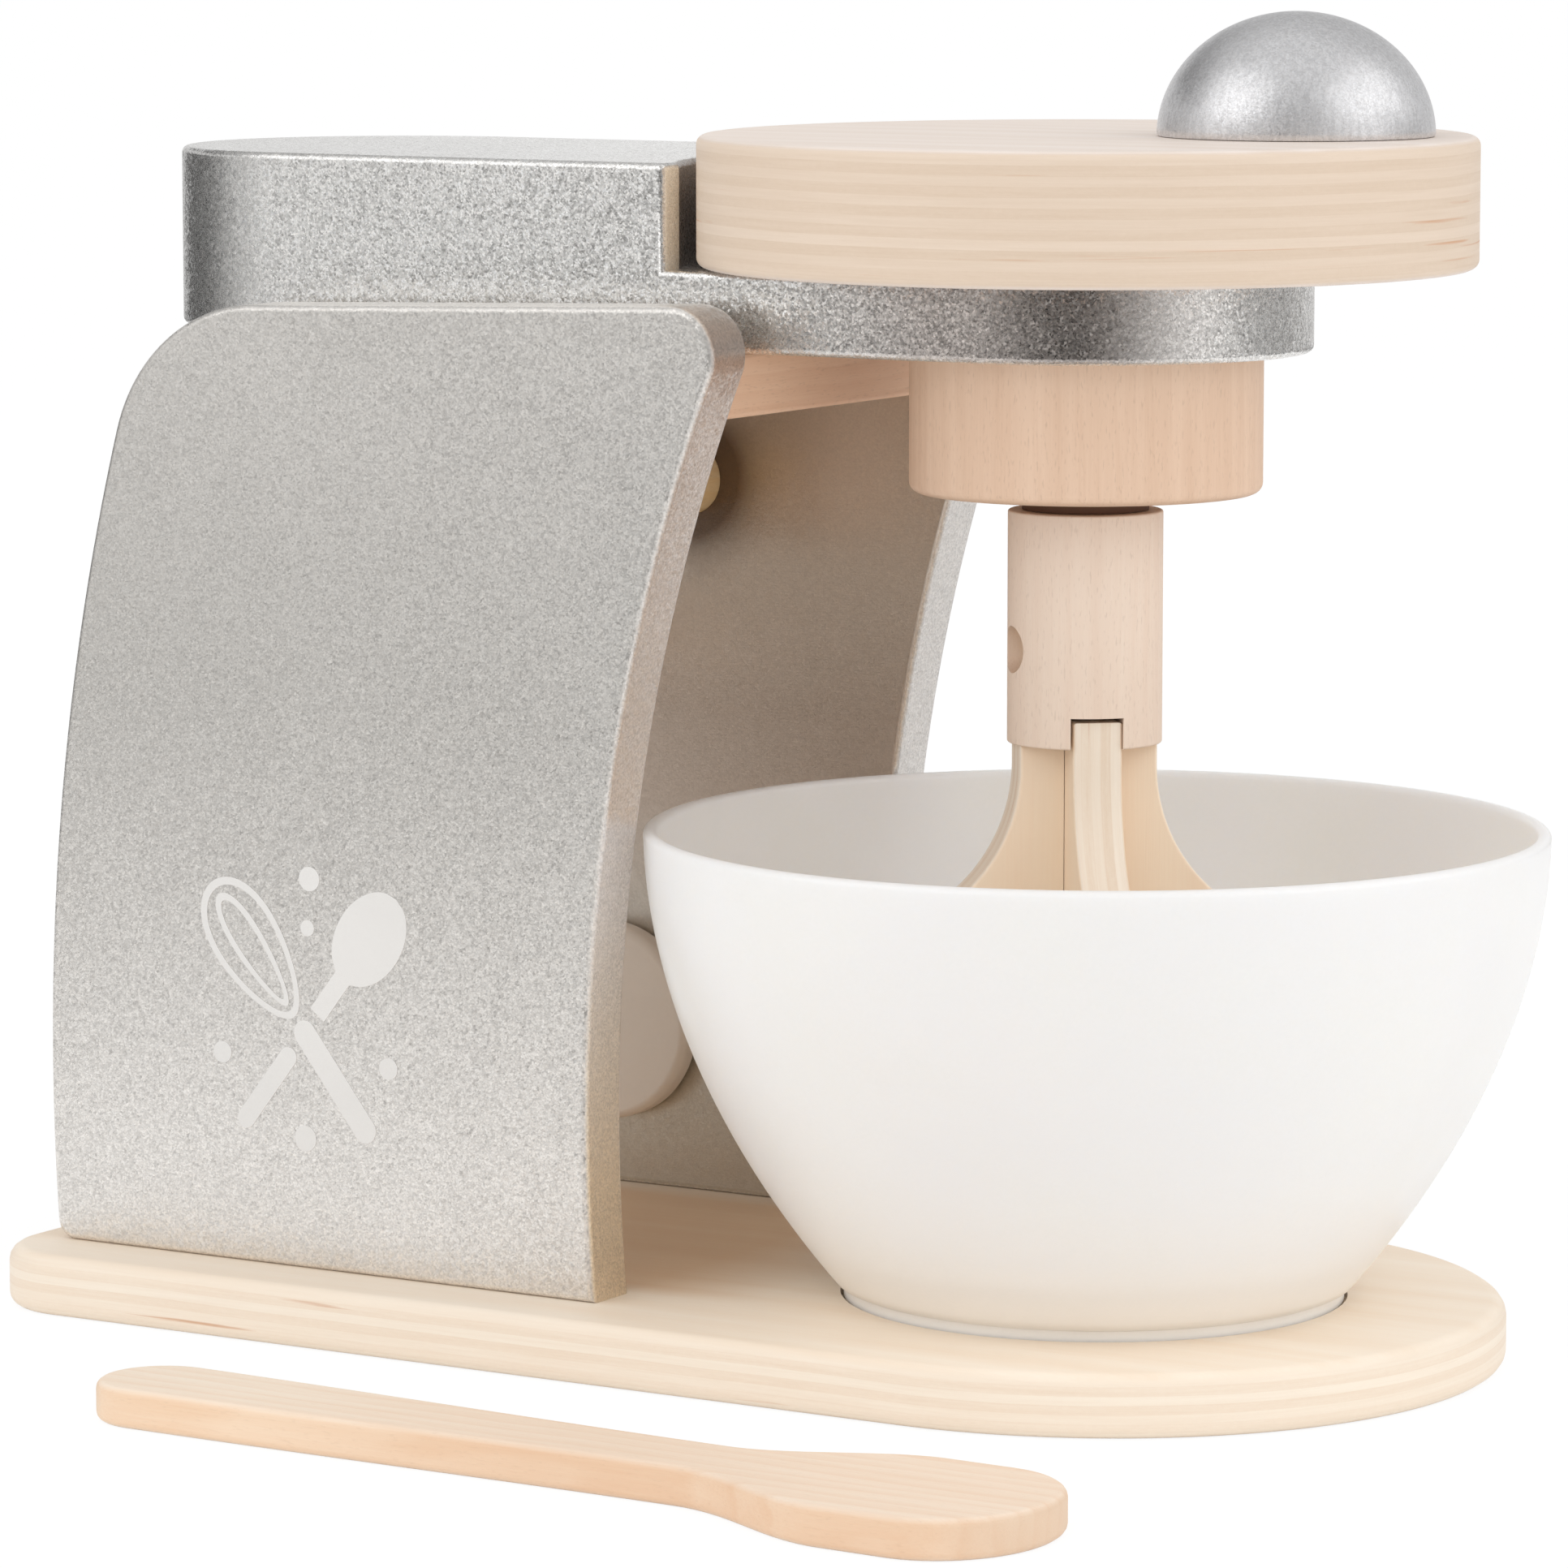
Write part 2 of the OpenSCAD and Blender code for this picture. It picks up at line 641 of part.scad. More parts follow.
module disc_washer() {
    color([0.35, 0.24, 0.17]) translate([0, 0, plate_z]) washer(disc_washer_d, disc_washer_t);
}

module shaft_washer() {
    color([0.35, 0.24, 0.17])
    translate([0, 0, collar_z - shaft_washer_t]) washer(shaft_washer_d, shaft_washer_t);
}

module at_knob() {
    rotate(knob_turn) translate([knob_reach, 0, 0]) children();
}

module crank_disc() {
    color([0.90, 0.79, 0.62])
    difference() {
        translate([0, 0, disc_z])
        rotate_extrude($fn = 160)
            polygon(concat(
                [[0, 0]],
                arc([disc_d / 2 - disc_round, disc_round], disc_round, 270, 360, 5),
                arc([disc_d / 2 - disc_round, disc_t - disc_round], disc_round, 0, 90, 5),
                [[0, disc_t]]
            ));
        translate([0, 0, disc_z - cut])
            cylinder(d = axle_d + 2 * glue_gap, h = cut + axle_in_disc + end_gap);
        at_knob() translate([0, 0, knob_dowel_z - end_gap])
            cylinder(d = knob_dowel_d + 2 * glue_gap, h = knob_dowel_l);
    }
}

module crank_knob() {
    color([0.76, 0.76, 0.75])
    at_knob() translate([0, 0, disc_top])
    difference() {
        rotate_extrude($fn = 128)
            polygon(concat(
                [[0, 0]],
                [for (i = [0 : 24]) [knob_d / 2 * cos(i * 3.75), knob_h * sin(i * 3.75)]]
            ));
        translate([0, 0, -cut])
            cylinder(d = knob_dowel_d + 2 * glue_gap,
                     h = cut + knob_dowel_z + knob_dowel_l + end_gap - disc_top);
    }
}

module knob_dowel() {
    color([0.85, 0.70, 0.52])
    at_knob() translate([0, 0, knob_dowel_z]) cylinder(d = knob_dowel_d, h = knob_dowel_l);
}

module at_pin() {
    translate([0, 0, pin_z]) rotate(pin_turn - 90) children();
}

module drive_axle() {
    color([0.86, 0.70, 0.52])
    difference() {
        translate([0, 0, shaft_top - axle_in_shaft])
            cylinder(d = axle_d, h = disc_z + axle_in_disc - shaft_top + axle_in_shaft);
        at_pin() rod_y(pin_d + 2 * glue_gap, -axle_d, 2 * axle_d);
    }
}

module beater_shaft() {
    slot_w = blade_t + 2 * blade_gap;
    color([0.88, 0.73, 0.60])
    difference() {
        translate([0, 0, shaft_z]) cylinder(d = shaft_d, h = shaft_l, $fn = 128);
        translate([0, 0, shaft_top - axle_in_shaft - end_gap])
            cylinder(d = axle_d + 2 * glue_gap, h = shaft_l);
        at_pin() rod_y(pin_d + 2 * glue_gap, -shaft_d, 2 * shaft_d);
        rotate(blade_turn) translate([-shaft_d, -slot_w / 2, shaft_z - cut])
            cube([2 * shaft_d, slot_w, cut + blade_tenon + slot_gap]);
    }
}

module shaft_pin() {
    color([0.80, 0.63, 0.45]) at_pin() rod_y(pin_d, -pin_l / 2, pin_l);
}

// Right half of a blade's outline from its top at height z: neck, sweep, shoulder and lower corner
function blade_half(z) =
    let (
        sweep_z = shaft_z - blade_drop,
        sweep_c = [blade_neck + blade_sweep, sweep_z],
        shoulder = (blade_r - blade_neck) / 4,
        end_a = 180 + acos((blade_neck + blade_sweep - (blade_r - shoulder)) / blade_sweep),
        end_z = sweep_z + blade_sweep * sin(end_a)
    )
    concat(
        [[blade_neck, z]],
        arc(sweep_c, blade_sweep, 180, end_a, arc_steps),
        arc([blade_r - shoulder, end_z - shoulder], shoulder, 90, 0, corner_steps),
        arc([blade_r - blade_corner, blade_z + blade_corner], blade_corner, 0, -90, corner_steps)
    );

// A whole blade up to height z in the XZ plane, with its half-lap slot from z0 up to z1
module blade(z, z0, z1) {
    half = blade_half(z);
    n = len(half);
    difference() {
        plate_y(
            concat(half, [for (i = [n - 1 : -1 : 0]) [-half[i][0], half[i][1]]]),
            -blade_t / 2, blade_t
        );
        translate([-blade_t / 2 - lap_gap, -blade_t, z0])
            cube([blade_t + 2 * lap_gap, 2 * blade_t, z1 - z0]);
    }
}

module beater_blade_a() {
    color([0.86, 0.71, 0.55]) rotate(blade_turn) blade(blade_top, blade_z - cut, lap_z + lap_gap);
}

module beater_blade_b() {
    color([0.86, 0.71, 0.55]) rotate(blade_turn + 90) blade(shaft_z, lap_z - lap_gap, shaft_z + cut);
}

module at_speed_knob() {
    translate([speed_knob_x, 0, speed_knob_z]) children();
}

// A turned disc along Y from y to y + t, with its edges rounded by r
module turned_disc(d, y, t, r) {
    translate([0, y, 0]) rotate([-90, 0, 0]) rotate_extrude()
        polygon(concat(
            [[0, 0]],
            arc([d / 2 - r, r], r, 270, 360, 5),
            arc([d / 2 - r, t - r], r, 0, 90, 5),
            [[0, t]]
        ));
}

module speed_knob() {
    color([0.95, 0.94, 0.92])
    at_speed_knob()
    difference() {
        turned_disc(speed_knob_d, speed_knob_y, speed_knob_h, 2);
        rod_y(spindle_d + 2 * glue_gap, speed_knob_y - cut, cut + spindle_in_knob + end_gap);
    }
}

module speed_spindle() {
    spindle_y = retainer_y + retainer_t - spindle_in_disc;
    color([0.85, 0.70, 0.52])
    at_speed_knob()
    difference() {
        rod_y(spindle_d, spindle_y, speed_knob_y + spindle_in_knob - spindle_y);
        rod_y(screw_d + 2 * glue_gap, spindle_y - cut,
              cut + retainer_y + screw_inset + retaining_screw_l + end_gap - spindle_y);
    }
}

module retaining_disc() {
    color([0.95, 0.93, 0.91])
    at_speed_knob()
    difference() {
        turned_disc(retainer_d, retainer_y, retainer_t, 1.2);
        rod_y(spindle_d + 2 * glue_gap, retainer_y + retainer_t - spindle_in_disc - end_gap, retainer_t);
        translate([0, retainer_y, 0]) rotate([-90, 0, 0])
            screw_hole(retaining_screw_l, screw_d, retaining_head_d, retaining_head_h);
    }
}

module retaining_screw() {
    color([0.35, 0.15, 0.14])
    at_speed_knob() translate([0, retainer_y + screw_inset, 0]) rotate([-90, 0, 0])
        screw(retaining_screw_l, screw_d, retaining_head_d, retaining_head_h);
}

module bowl() {
    wall_z = bowl_z + foot_h;
    lip = bowl_wall / 2;
    inner_foot = bowl_radius(wall_z) - foot_w;
    color([0.97, 0.96, 0.94])
    translate([bowl_x, 0, 0])
    rotate_extrude($fn = 160)
        polygon(concat(
            [
                [0, bowl_z + foot_hollow],
                [foot_r - foot_w, bowl_z + foot_hollow],
                [foot_r - foot_w, bowl_z],
                [foot_r - foot_bevel, bowl_z],
                [foot_r, bowl_z + foot_bevel],
                [foot_r, wall_z]
            ],
            [
                for (i = [0 : 20])
                    let (z = wall_z + (rim_z - lip - wall_z) * i / 20) [bowl_radius(z), z]
            ],
            arc([bowl_r - lip, rim_z - lip], lip, 30, 150, 6),
            [
                for (i = [0 : 19])
                    let (z = rim_z - lip + (bowl_floor_z + 3 - rim_z + lip) * i / 19)
                    [bowl_radius(z) - bowl_wall, z]
            ],
            [[inner_foot - 4, bowl_floor_z], [0, bowl_floor_z]]
        ));
}

module spatula() {
    n = 90;
    cap = 6;
    steps = concat(
        [for (i = [0 : cap]) handle_w / 2 * (1 - cos(90 * i / cap))],
        [for (i = [1 : n]) handle_w / 2 + (spatula_l - spatula_tip_l - handle_w / 2) * i / n],
        [for (i = [1 : 2 * cap]) spatula_l - spatula_tip_l * (1 - sin(45 * i / cap))]
    );
    m = len(steps);
    color([0.90, 0.74, 0.55])
    translate([spatula_tip - spatula_l, spatula_y, 0]) rotate(spatula_angle)
    linear_extrude(height = spatula_t)
        polygon(concat(
            [for (i = [1 : m - 2]) [steps[i], -spatula_half(steps[i])]],
            [[spatula_l, 0]],
            [for (i = [m - 2 : -1 : 1]) [steps[i], spatula_half(steps[i])]],
            [[0, 0]]
        ));
}

base_board();
right_side_panel();
left_side_panel();
head_rest_rail();
rail_dowels();
panel_dowels();
panel_screws();
tilt_stop_dowel();
translate([0, 0, head_z]) head();
neck_block();
pivot_dowel();
neck_dowels();
collar();
collar_dowels();
disc_washer();
shaft_washer();
crank_disc();
crank_knob();
knob_dowel();
drive_axle();
beater_shaft();
shaft_pin();
beater_blade_a();
beater_blade_b();
speed_knob();
speed_spindle();
retaining_disc();
retaining_screw();
bowl();
spatula();
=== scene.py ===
"""Looks of the wooden toy stand mixer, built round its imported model.

Lengths in this script are millimetres in the model's own frame, and MM turns them into metres.
The beater axis is the Z axis, +X points to the front, +Y to the side with the speed knob.
"""
from functools import partial, reduce
from math import acos, asin, atan2, cos, pi, radians, sin, sqrt

import bmesh
import bpy
from mathutils import Matrix, Vector


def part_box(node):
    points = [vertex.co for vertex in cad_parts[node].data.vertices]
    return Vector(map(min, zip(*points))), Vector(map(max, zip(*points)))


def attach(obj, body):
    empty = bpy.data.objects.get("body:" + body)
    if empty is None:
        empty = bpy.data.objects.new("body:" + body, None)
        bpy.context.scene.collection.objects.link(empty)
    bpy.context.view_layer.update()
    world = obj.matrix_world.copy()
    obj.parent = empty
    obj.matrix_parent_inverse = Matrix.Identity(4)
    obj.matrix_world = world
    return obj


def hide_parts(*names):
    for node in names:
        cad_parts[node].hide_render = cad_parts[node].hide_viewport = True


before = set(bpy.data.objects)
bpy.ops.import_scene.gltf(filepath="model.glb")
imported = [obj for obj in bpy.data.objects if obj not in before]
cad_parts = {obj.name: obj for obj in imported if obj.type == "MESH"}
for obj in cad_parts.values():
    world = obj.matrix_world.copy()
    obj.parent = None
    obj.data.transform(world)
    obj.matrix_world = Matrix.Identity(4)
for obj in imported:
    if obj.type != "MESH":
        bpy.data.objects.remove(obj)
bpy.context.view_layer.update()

MM = 0.001
QUARTER = pi / 2
WHITE = (1, 1, 1, 1)

# Steps round a cutter, a turned piece and a large one, and across a rounded arris
CUTTER_STEPS = 64
STEPS = 160
FINE_STEPS = 200
ROUND_STEPS = 4

# Outline of a side panel
PANEL_H = 141.5
PANEL_W = 94.3
WAIST_Z = 35
FRONT_ARC_R = 284
REAR_ARC_R = 350
TOP_SLOPE = radians(1.7)
REAR_TOP_R = 26
FRONT_TOP_R = 7
REAR_FOOT_R = 3

# Outline of a beater blade
BLADE_T = 7
BLADE_R = 32
BLADE_NECK = 9.9
BLADE_SWEEP = 24
BLADE_DROP = 3.1
BLADE_CORNER = 12
BLADE_TURN = radians(-50)
BLADE_GAP = 0.5
SLOT_GAP = 0.7
LAP_GAP = 0.1
PIN_TURN = radians(49)

# The bowl: its foot, its wall and the round between its wall and its floor
FOOT_GAP = 0.5
FOOT_R = 35.8
FOOT_BEVEL = 1.0
FOOT_W = 3.2
FOOT_H = 3.4
FOOT_HOLLOW = 2
BOWL_WALL = 2
BOWL_FLOOR = 3
BOWL_SWELL = 95.4
SWELL_POWER = 1.9
SWELL_ROOT = 1.2
FLOOR_ROUND_W = 9
FLOOR_ROUND_H = 6
MILKY_H = 14

# Other outlines
BASE_CORNER = 14
NOTCH_R = 57.5
HEAD_STEP = 50.3
HOLLOW_HALF = sqrt(NOTCH_R ** 2 - HEAD_STEP ** 2)
CROWN_H = 0.6
POINTER_D = 3
POINTER_DEPTH = 1.2
POINTER_PLACE = 0.62
SPATULA_L = 150.3
SPATULA_W = 33.6
SPATULA_BLADE_L = 24.5
SPATULA_TIP_L = 14.5
SPATULA_FLARE_L = 28.2
HANDLE_W = 18
HANDLE_NECK_W = 14.6
SPATULA_ANGLE = radians(-1.5)
SPATULA_OFF = 46.2

# Play round a glued and round a turning dowel, beyond its end and round a screw's head
GLUE_GAP = 0.05
RUN_GAP = 0.08
END_GAP = 0.5
HEAD_GAP = 0.5

# Bores of the screws, how far their heads stand out and sink in, and how far cutters reach past a face
SCREW_BORE = 3.1
SCREW_EDGE = 1.65
SMALL_SCREW_EDGE = 0.95
SEAT = 0.9
PAST = 5
JUST_PAST = 1

# Rounding of the arrises
PAINTED_ARRIS = 1.0
BASE_ARRIS = 2.4
BASE_FOOT_ARRIS = 1.92
DISC_ARRIS = 1.3
SHAFT_ARRIS = 0.35
WOOD_ARRIS = 0.5
SPATULA_ARRIS = 1.2

# The print on the near panel: its middle in x and z, its depths along -Y and its dots
PRINT_PLACE = Vector((-103.4, 47.7))
PRINT_LOW = 45.45
PRINT_HIGH = 45.57
PRINT_DOTS = ((1.0, 18.6, 1.8), (0.6, 11.4, 1.2), (0, -19.5, 1.9), (-14.6, -8.0, 1.6), (14.6, -8.0, 1.6))


def box(node):
    """Lowest and highest corner of a node, in millimetres."""
    low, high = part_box(node)
    return low / MM, high / MM


def solids(node):
    """Lowest and highest corner of each separate solid of a node, in millimetres."""
    bm = bmesh.new()
    bm.from_mesh(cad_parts[node].data)
    bmesh.ops.remove_doubles(bm, verts=bm.verts, dist=1e-6)
    left = set(bm.verts)
    found = []
    while left:
        front, places = [left.pop()], []
        while front:
            vert = front.pop()
            places.append(vert.co / MM)
            near = left & {edge.other_vert(vert) for edge in vert.link_edges}
            left -= near
            front += near
        found.append(tuple(Vector(pick(p[i] for p in places) for i in range(3)) for pick in (min, max)))
    bm.free()
    return sorted(found, key=lambda pair: tuple(pair[0]))


def even(start, end, count):
    """Values in even steps, with both ends."""
    return [start + (end - start) * i / count for i in range(count + 1)]


def arc(centre, radius, start, end, steps):
    """Points of an arc, with its angles in radians."""
    return [Vector((centre[0] + radius * cos(t), centre[1] + radius * sin(t)))
            for t in even(start, end, steps)]


def rectangle(low, high):
    """A counterclockwise outline between two corners."""
    return [Vector(p) for p in ((low[0], low[1]), (high[0], low[1]), (high[0], high[1]), (low[0], high[1]))]


def rounded(low, high, radius):
    """The same with round corners."""
    edge = Vector((radius, radius))
    return [point for i, centre in enumerate(rectangle(low + edge, high - edge))
            for point in arc(centre, radius, (i + 2) * QUARTER, (i + 3) * QUARTER, ROUND_STEPS)]


def placed(name, data):
    """An object of the scene."""
    thing = bpy.data.objects.new(name, data)
    bpy.context.scene.collection.objects.link(thing)
    return thing


def new_object(name, verts, faces):
    """A mesh object from places in millimetres."""
    mesh = bpy.data.meshes.new(name)
    mesh.from_pydata([Vector(v) * MM for v in verts], [], faces)
    mesh.validate()
    bm = bmesh.new()
    bm.from_mesh(mesh)
    bmesh.ops.remove_doubles(bm, verts=bm.verts, dist=1e-7)
    bmesh.ops.recalc_face_normals(bm, faces=bm.faces)
    bm.to_mesh(mesh)
    bm.free()
    return placed(name, mesh)


def settle(piece):
    """Turns a piece's modifiers into mesh."""
    graph = bpy.context.evaluated_depsgraph_get()
    mesh = bpy.data.meshes.new_from_object(piece.evaluated_get(graph))
    piece.modifiers.clear()
    piece.data = mesh


def inset(outline, depth):
    """The outline drawn in by depth, with its corners kept."""
    count = len(outline)
    result = []
    for i, point in enumerate(outline):
        ahead = (outline[(i + 1) % count] - point).normalized()
        behind = (point - outline[i - 1]).normalized()
        out = Vector((ahead.y, -ahead.x)) + Vector((behind.y, -behind.x))
        result.append(point - out * (depth / (1 + ahead.dot(behind))))
    return result


def in_xy(u, v, h):
    return (u, v, h)


def in_xz(u, v, h):
    return (u, -h, v)


def band(count, low, high):
    """Faces between two of a mesh's rings of count points."""
    pairs = [(i, (i + 1) % count) for i in range(count)]
    return [[low * count + i, low * count + j, high * count + j, high * count + i] for i, j in pairs]


def plate(name, outline, low, high, arris_low, arris_high, place=in_xy):
    """A solid plate of a counterclockwise outline, with rounded arrises."""
    turns = even(0, QUARTER, ROUND_STEPS)
    levels = [(arris_low * (1 - sin(t)), low + arris_low * (1 - cos(t))) for t in turns]
    levels += [(arris_high * (1 - cos(t)), high - arris_high * (1 - sin(t))) for t in turns]
    verts = [place(p.x, p.y, h) for depth, h in levels for p in inset(outline, depth)]
    count = len(outline)
    faces = [list(range(count))[::-1], [len(verts) - count + i for i in range(count)]]
    for ring in range(len(levels) - 1):
        faces += band(count, ring, ring + 1)
    return new_object(name, verts, faces)


def lathe(name, profile, place, steps=STEPS):
    """A turned solid. The profile is a list of radius and height, from the axis to the axis."""
    verts, rings = [], []
    turns = [2 * pi * i / steps for i in range(steps)]
    for radius, height in profile:
        if radius == 0:
            rings.append([len(verts)] * steps)
            verts.append(place(0, 0, height))
        else:
            rings.append([len(verts) + i for i in range(steps)])
            verts += [place(radius * cos(t), radius * sin(t), height) for t in turns]
    faces = []
    for a, b in zip(rings, rings[1:]):
        for i in range(steps):
            j = (i + 1) % steps
            corners = [a[i], a[j], b[j], b[i]]
            faces.append([c for n, c in enumerate(corners) if c not in corners[:n]])
    return new_object(name, verts, faces)


def round_profile(radius, low, high, arris_low, arris_high):
    """Profile of a turned disc with rounded edges, from the axis to the axis."""
    lower = arc((radius - arris_low, low + arris_low), arris_low, -QUARTER, 0, 6)
    upper = arc((radius - arris_high, high - arris_high), arris_high, 0, QUARTER, 6)
    return [(0, low)] + lower + upper + [(0, high)]


def rod(start, end, diameter, steps=CUTTER_STEPS):
    """A cutter: a cylinder between two places."""
    start, end = Vector(start), Vector(end)
    turn = (end - start).to_track_quat("Z", "Y")
    length = (end - start).length
    return lathe("cutter", [(0, 0), (diameter / 2, 0), (diameter / 2, length), (0, length)],
                 lambda x, y, z: turn @ Vector((x, y, z)) + start, steps)


def block(low, high, turn):
    """A cutter: a box between two corners, turned about the beater axis."""
    swing = Matrix.Rotation(turn, 2)
    return plate("cutter", [swing @ p for p in rectangle(low, high)], low[2], high[2], 0, 0)


def countersink(x, y, depth, diameter):
    """A cutter for a screw's head that opens downwards."""
    profile = [(0, -PAST), (diameter / 2, -PAST), (diameter / 2, depth), (diameter / 2 - 0.45, depth),
               (SCREW_BORE / 2, depth + 2.4), (0, depth + 2.4)]
    return lathe("cutter", profile, lambda u, v, h: (x + u, y + v, h), 48)


def dowel_bores(play, *nodes):
    """Cutters for the bores that hold the dowels of these nodes."""
    cutters = []
    for low, high in (corners for node in nodes for corners in solids(node)):
        size = high - low
        axis = max(range(3), key=lambda i: size[i])
        middle = (low + high) / 2
        reach = Vector()
        reach[axis] = size[axis] / 2 + END_GAP
        diameter = (sum(size) - size[axis]) / 2
        cutters.append(rod(middle - reach, middle + reach, diameter + 2 * play))
    return cutters


def dress(piece, material, body, nodes, cutters=(), sharp=40):
    """Takes the cutters out of a piece, shades it, and puts it in the place of its nodes."""
    for cutter in cutters:
        modifier = piece.modifiers.new("cut", "BOOLEAN")
        modifier.operation = "DIFFERENCE"
        modifier.solver = "EXACT"
        modifier.object = cutter
    settle(piece)
    for cutter in cutters:
        bpy.data.objects.remove(cutter)
    piece.data.shade_smooth()
    piece.data.set_sharp_from_angle(angle=radians(sharp))
    weighted = piece.modifiers.new("weighted normals", "WEIGHTED_NORMAL")
    weighted.keep_sharp = True
    settle(piece)
    piece.data.materials.clear()
    piece.data.materials.append(material)
    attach(piece, body)
    if nodes:
        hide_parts(*nodes)


def srgb(red, green, blue):
    """A linear colour from its 0 to 255 values on screen."""
    def linear(value):
        value /= 255
        return value / 12.92 if value <= 0.04045 else ((value + 0.055) / 1.055) ** 2.4
    return (linear(red), linear(green), linear(blue), 1.0)


def shaded(colour, factor):
    """A colour made lighter or darker."""
    return tuple(c * factor for c in colour[:3]) + (1.0,)


def feed(tree, node, inputs):
    """Sets each input of a node to a value, or links it to another node's output."""
    for key, value in inputs.items():
        if isinstance(value, bpy.types.NodeSocket):
            tree.links.new(value, node.inputs[key])
        else:
            node.inputs[key].default_value = value


def add_node(tree, kind, inputs, **settings):
    made = tree.nodes.new(kind)
    for key, value in settings.items():
        setattr(made, key, value)
    feed(tree, made, inputs)
    return made


class Shader:
    """A material whose nodes are added by short calls. Its point is in millimetres."""

    def __init__(self, name, roughness, metallic=0.0, specular=0.5):
        self.material = bpy.data.materials.new(name)
        self.material.use_nodes = True
        self.tree = self.material.node_tree
        self.surface = self.tree.nodes["Principled BSDF"]
        self.feed({"Roughness": roughness, "Metallic": metallic, "Specular IOR Level": specular})
        coordinates = self.node("ShaderNodeTexCoord", {})
        self.normal = coordinates.outputs["Normal"]
        self.point = self.scaled(coordinates.outputs["Object"], (1 / MM,) * 3)

    def node(self, kind, inputs, **settings):
        return add_node(self.tree, kind, inputs, **settings)

    def vectors(self, operation, a, b):
        return self.node("ShaderNodeVectorMath", {0: a, 1: b}, operation=operation).outputs

    def scaled(self, vector, factors):
        return self.vectors("MULTIPLY", vector, factors)[0]

    def moved(self, vector, offset):
        return self.vectors("ADD", vector, offset)[0]

    def parts(self, vector):
        return self.node("ShaderNodeSeparateXYZ", {0: vector}).outputs

    def maths(self, operation, a, b=0.0):
        return self.node("ShaderNodeMath", {0: a, 1: b}, operation=operation).outputs[0]

    def sum(self, *values):
        return reduce(partial(self.maths, "ADD"), values)

    def times(self, *values):
        return reduce(partial(self.maths, "MULTIPLY"), values)

    def size(self, value):
        return self.maths("ABSOLUTE", value)

    def distance(self, a, b):
        return self.maths("SQRT", self.sum(self.times(a, a), self.times(b, b)))

    def noise(self, vector, scale, detail=3, roughness=0.5):
        """Noise of one scale, or of a scale along each axis."""
        if isinstance(scale, tuple):
            vector, scale = self.scaled(vector, scale), 1.0
        inputs = {"Vector": vector, "Scale": scale, "Detail": detail, "Roughness": roughness}
        return self.node("ShaderNodeTexNoise", inputs).outputs["Fac"]

    def flakes(self, vector, scale):
        """Random values of small flat flakes, and a height that tilts each its own way."""
        cell = self.node("ShaderNodeTexVoronoi", {"Vector": vector, "Scale": scale}).outputs
        lean = self.moved(cell["Color"], (-0.5, -0.5, -0.5))
        place = self.vectors("SUBTRACT", vector, cell["Position"])[0]
        return self.parts(cell["Color"]), self.vectors("DOT_PRODUCT", lean, place)["Value"]

    def span(self, value, low, high, to_low=0.0, to_high=1.0):
        """A value between low and high, brought between to_low and to_high."""
        inputs = {"Value": value, "From Min": low, "From Max": high, "To Min": to_low, "To Max": to_high}
        return self.node("ShaderNodeMapRange", inputs).outputs["Result"]

    def mix(self, share, a, b, kind="MIX"):
        inputs = {0: share, 6: a, 7: b}
        return self.node("ShaderNodeMix", inputs, data_type="RGBA", blend_type=kind).outputs[2]

    def tint(self, share, colour, tint):
        """A colour, multiplied by a tint where the share is 1."""
        return self.mix(share, colour, self.mix(1.0, colour, tint, "MULTIPLY"))

    def bump(self, height, depth, strength=1.0):
        """Bumps of the given depth in millimetres."""
        inputs = {"Height": height, "Distance": depth * MM, "Strength": strength}
        return self.node("ShaderNodeBump", inputs).outputs["Normal"]

    def feed(self, inputs):
        feed(self.tree, self.surface, inputs)

    def finish(self, colour, normal, roughness):
        self.feed({"Base Color": colour, "Normal": normal, "Roughness": roughness})
        return self.material


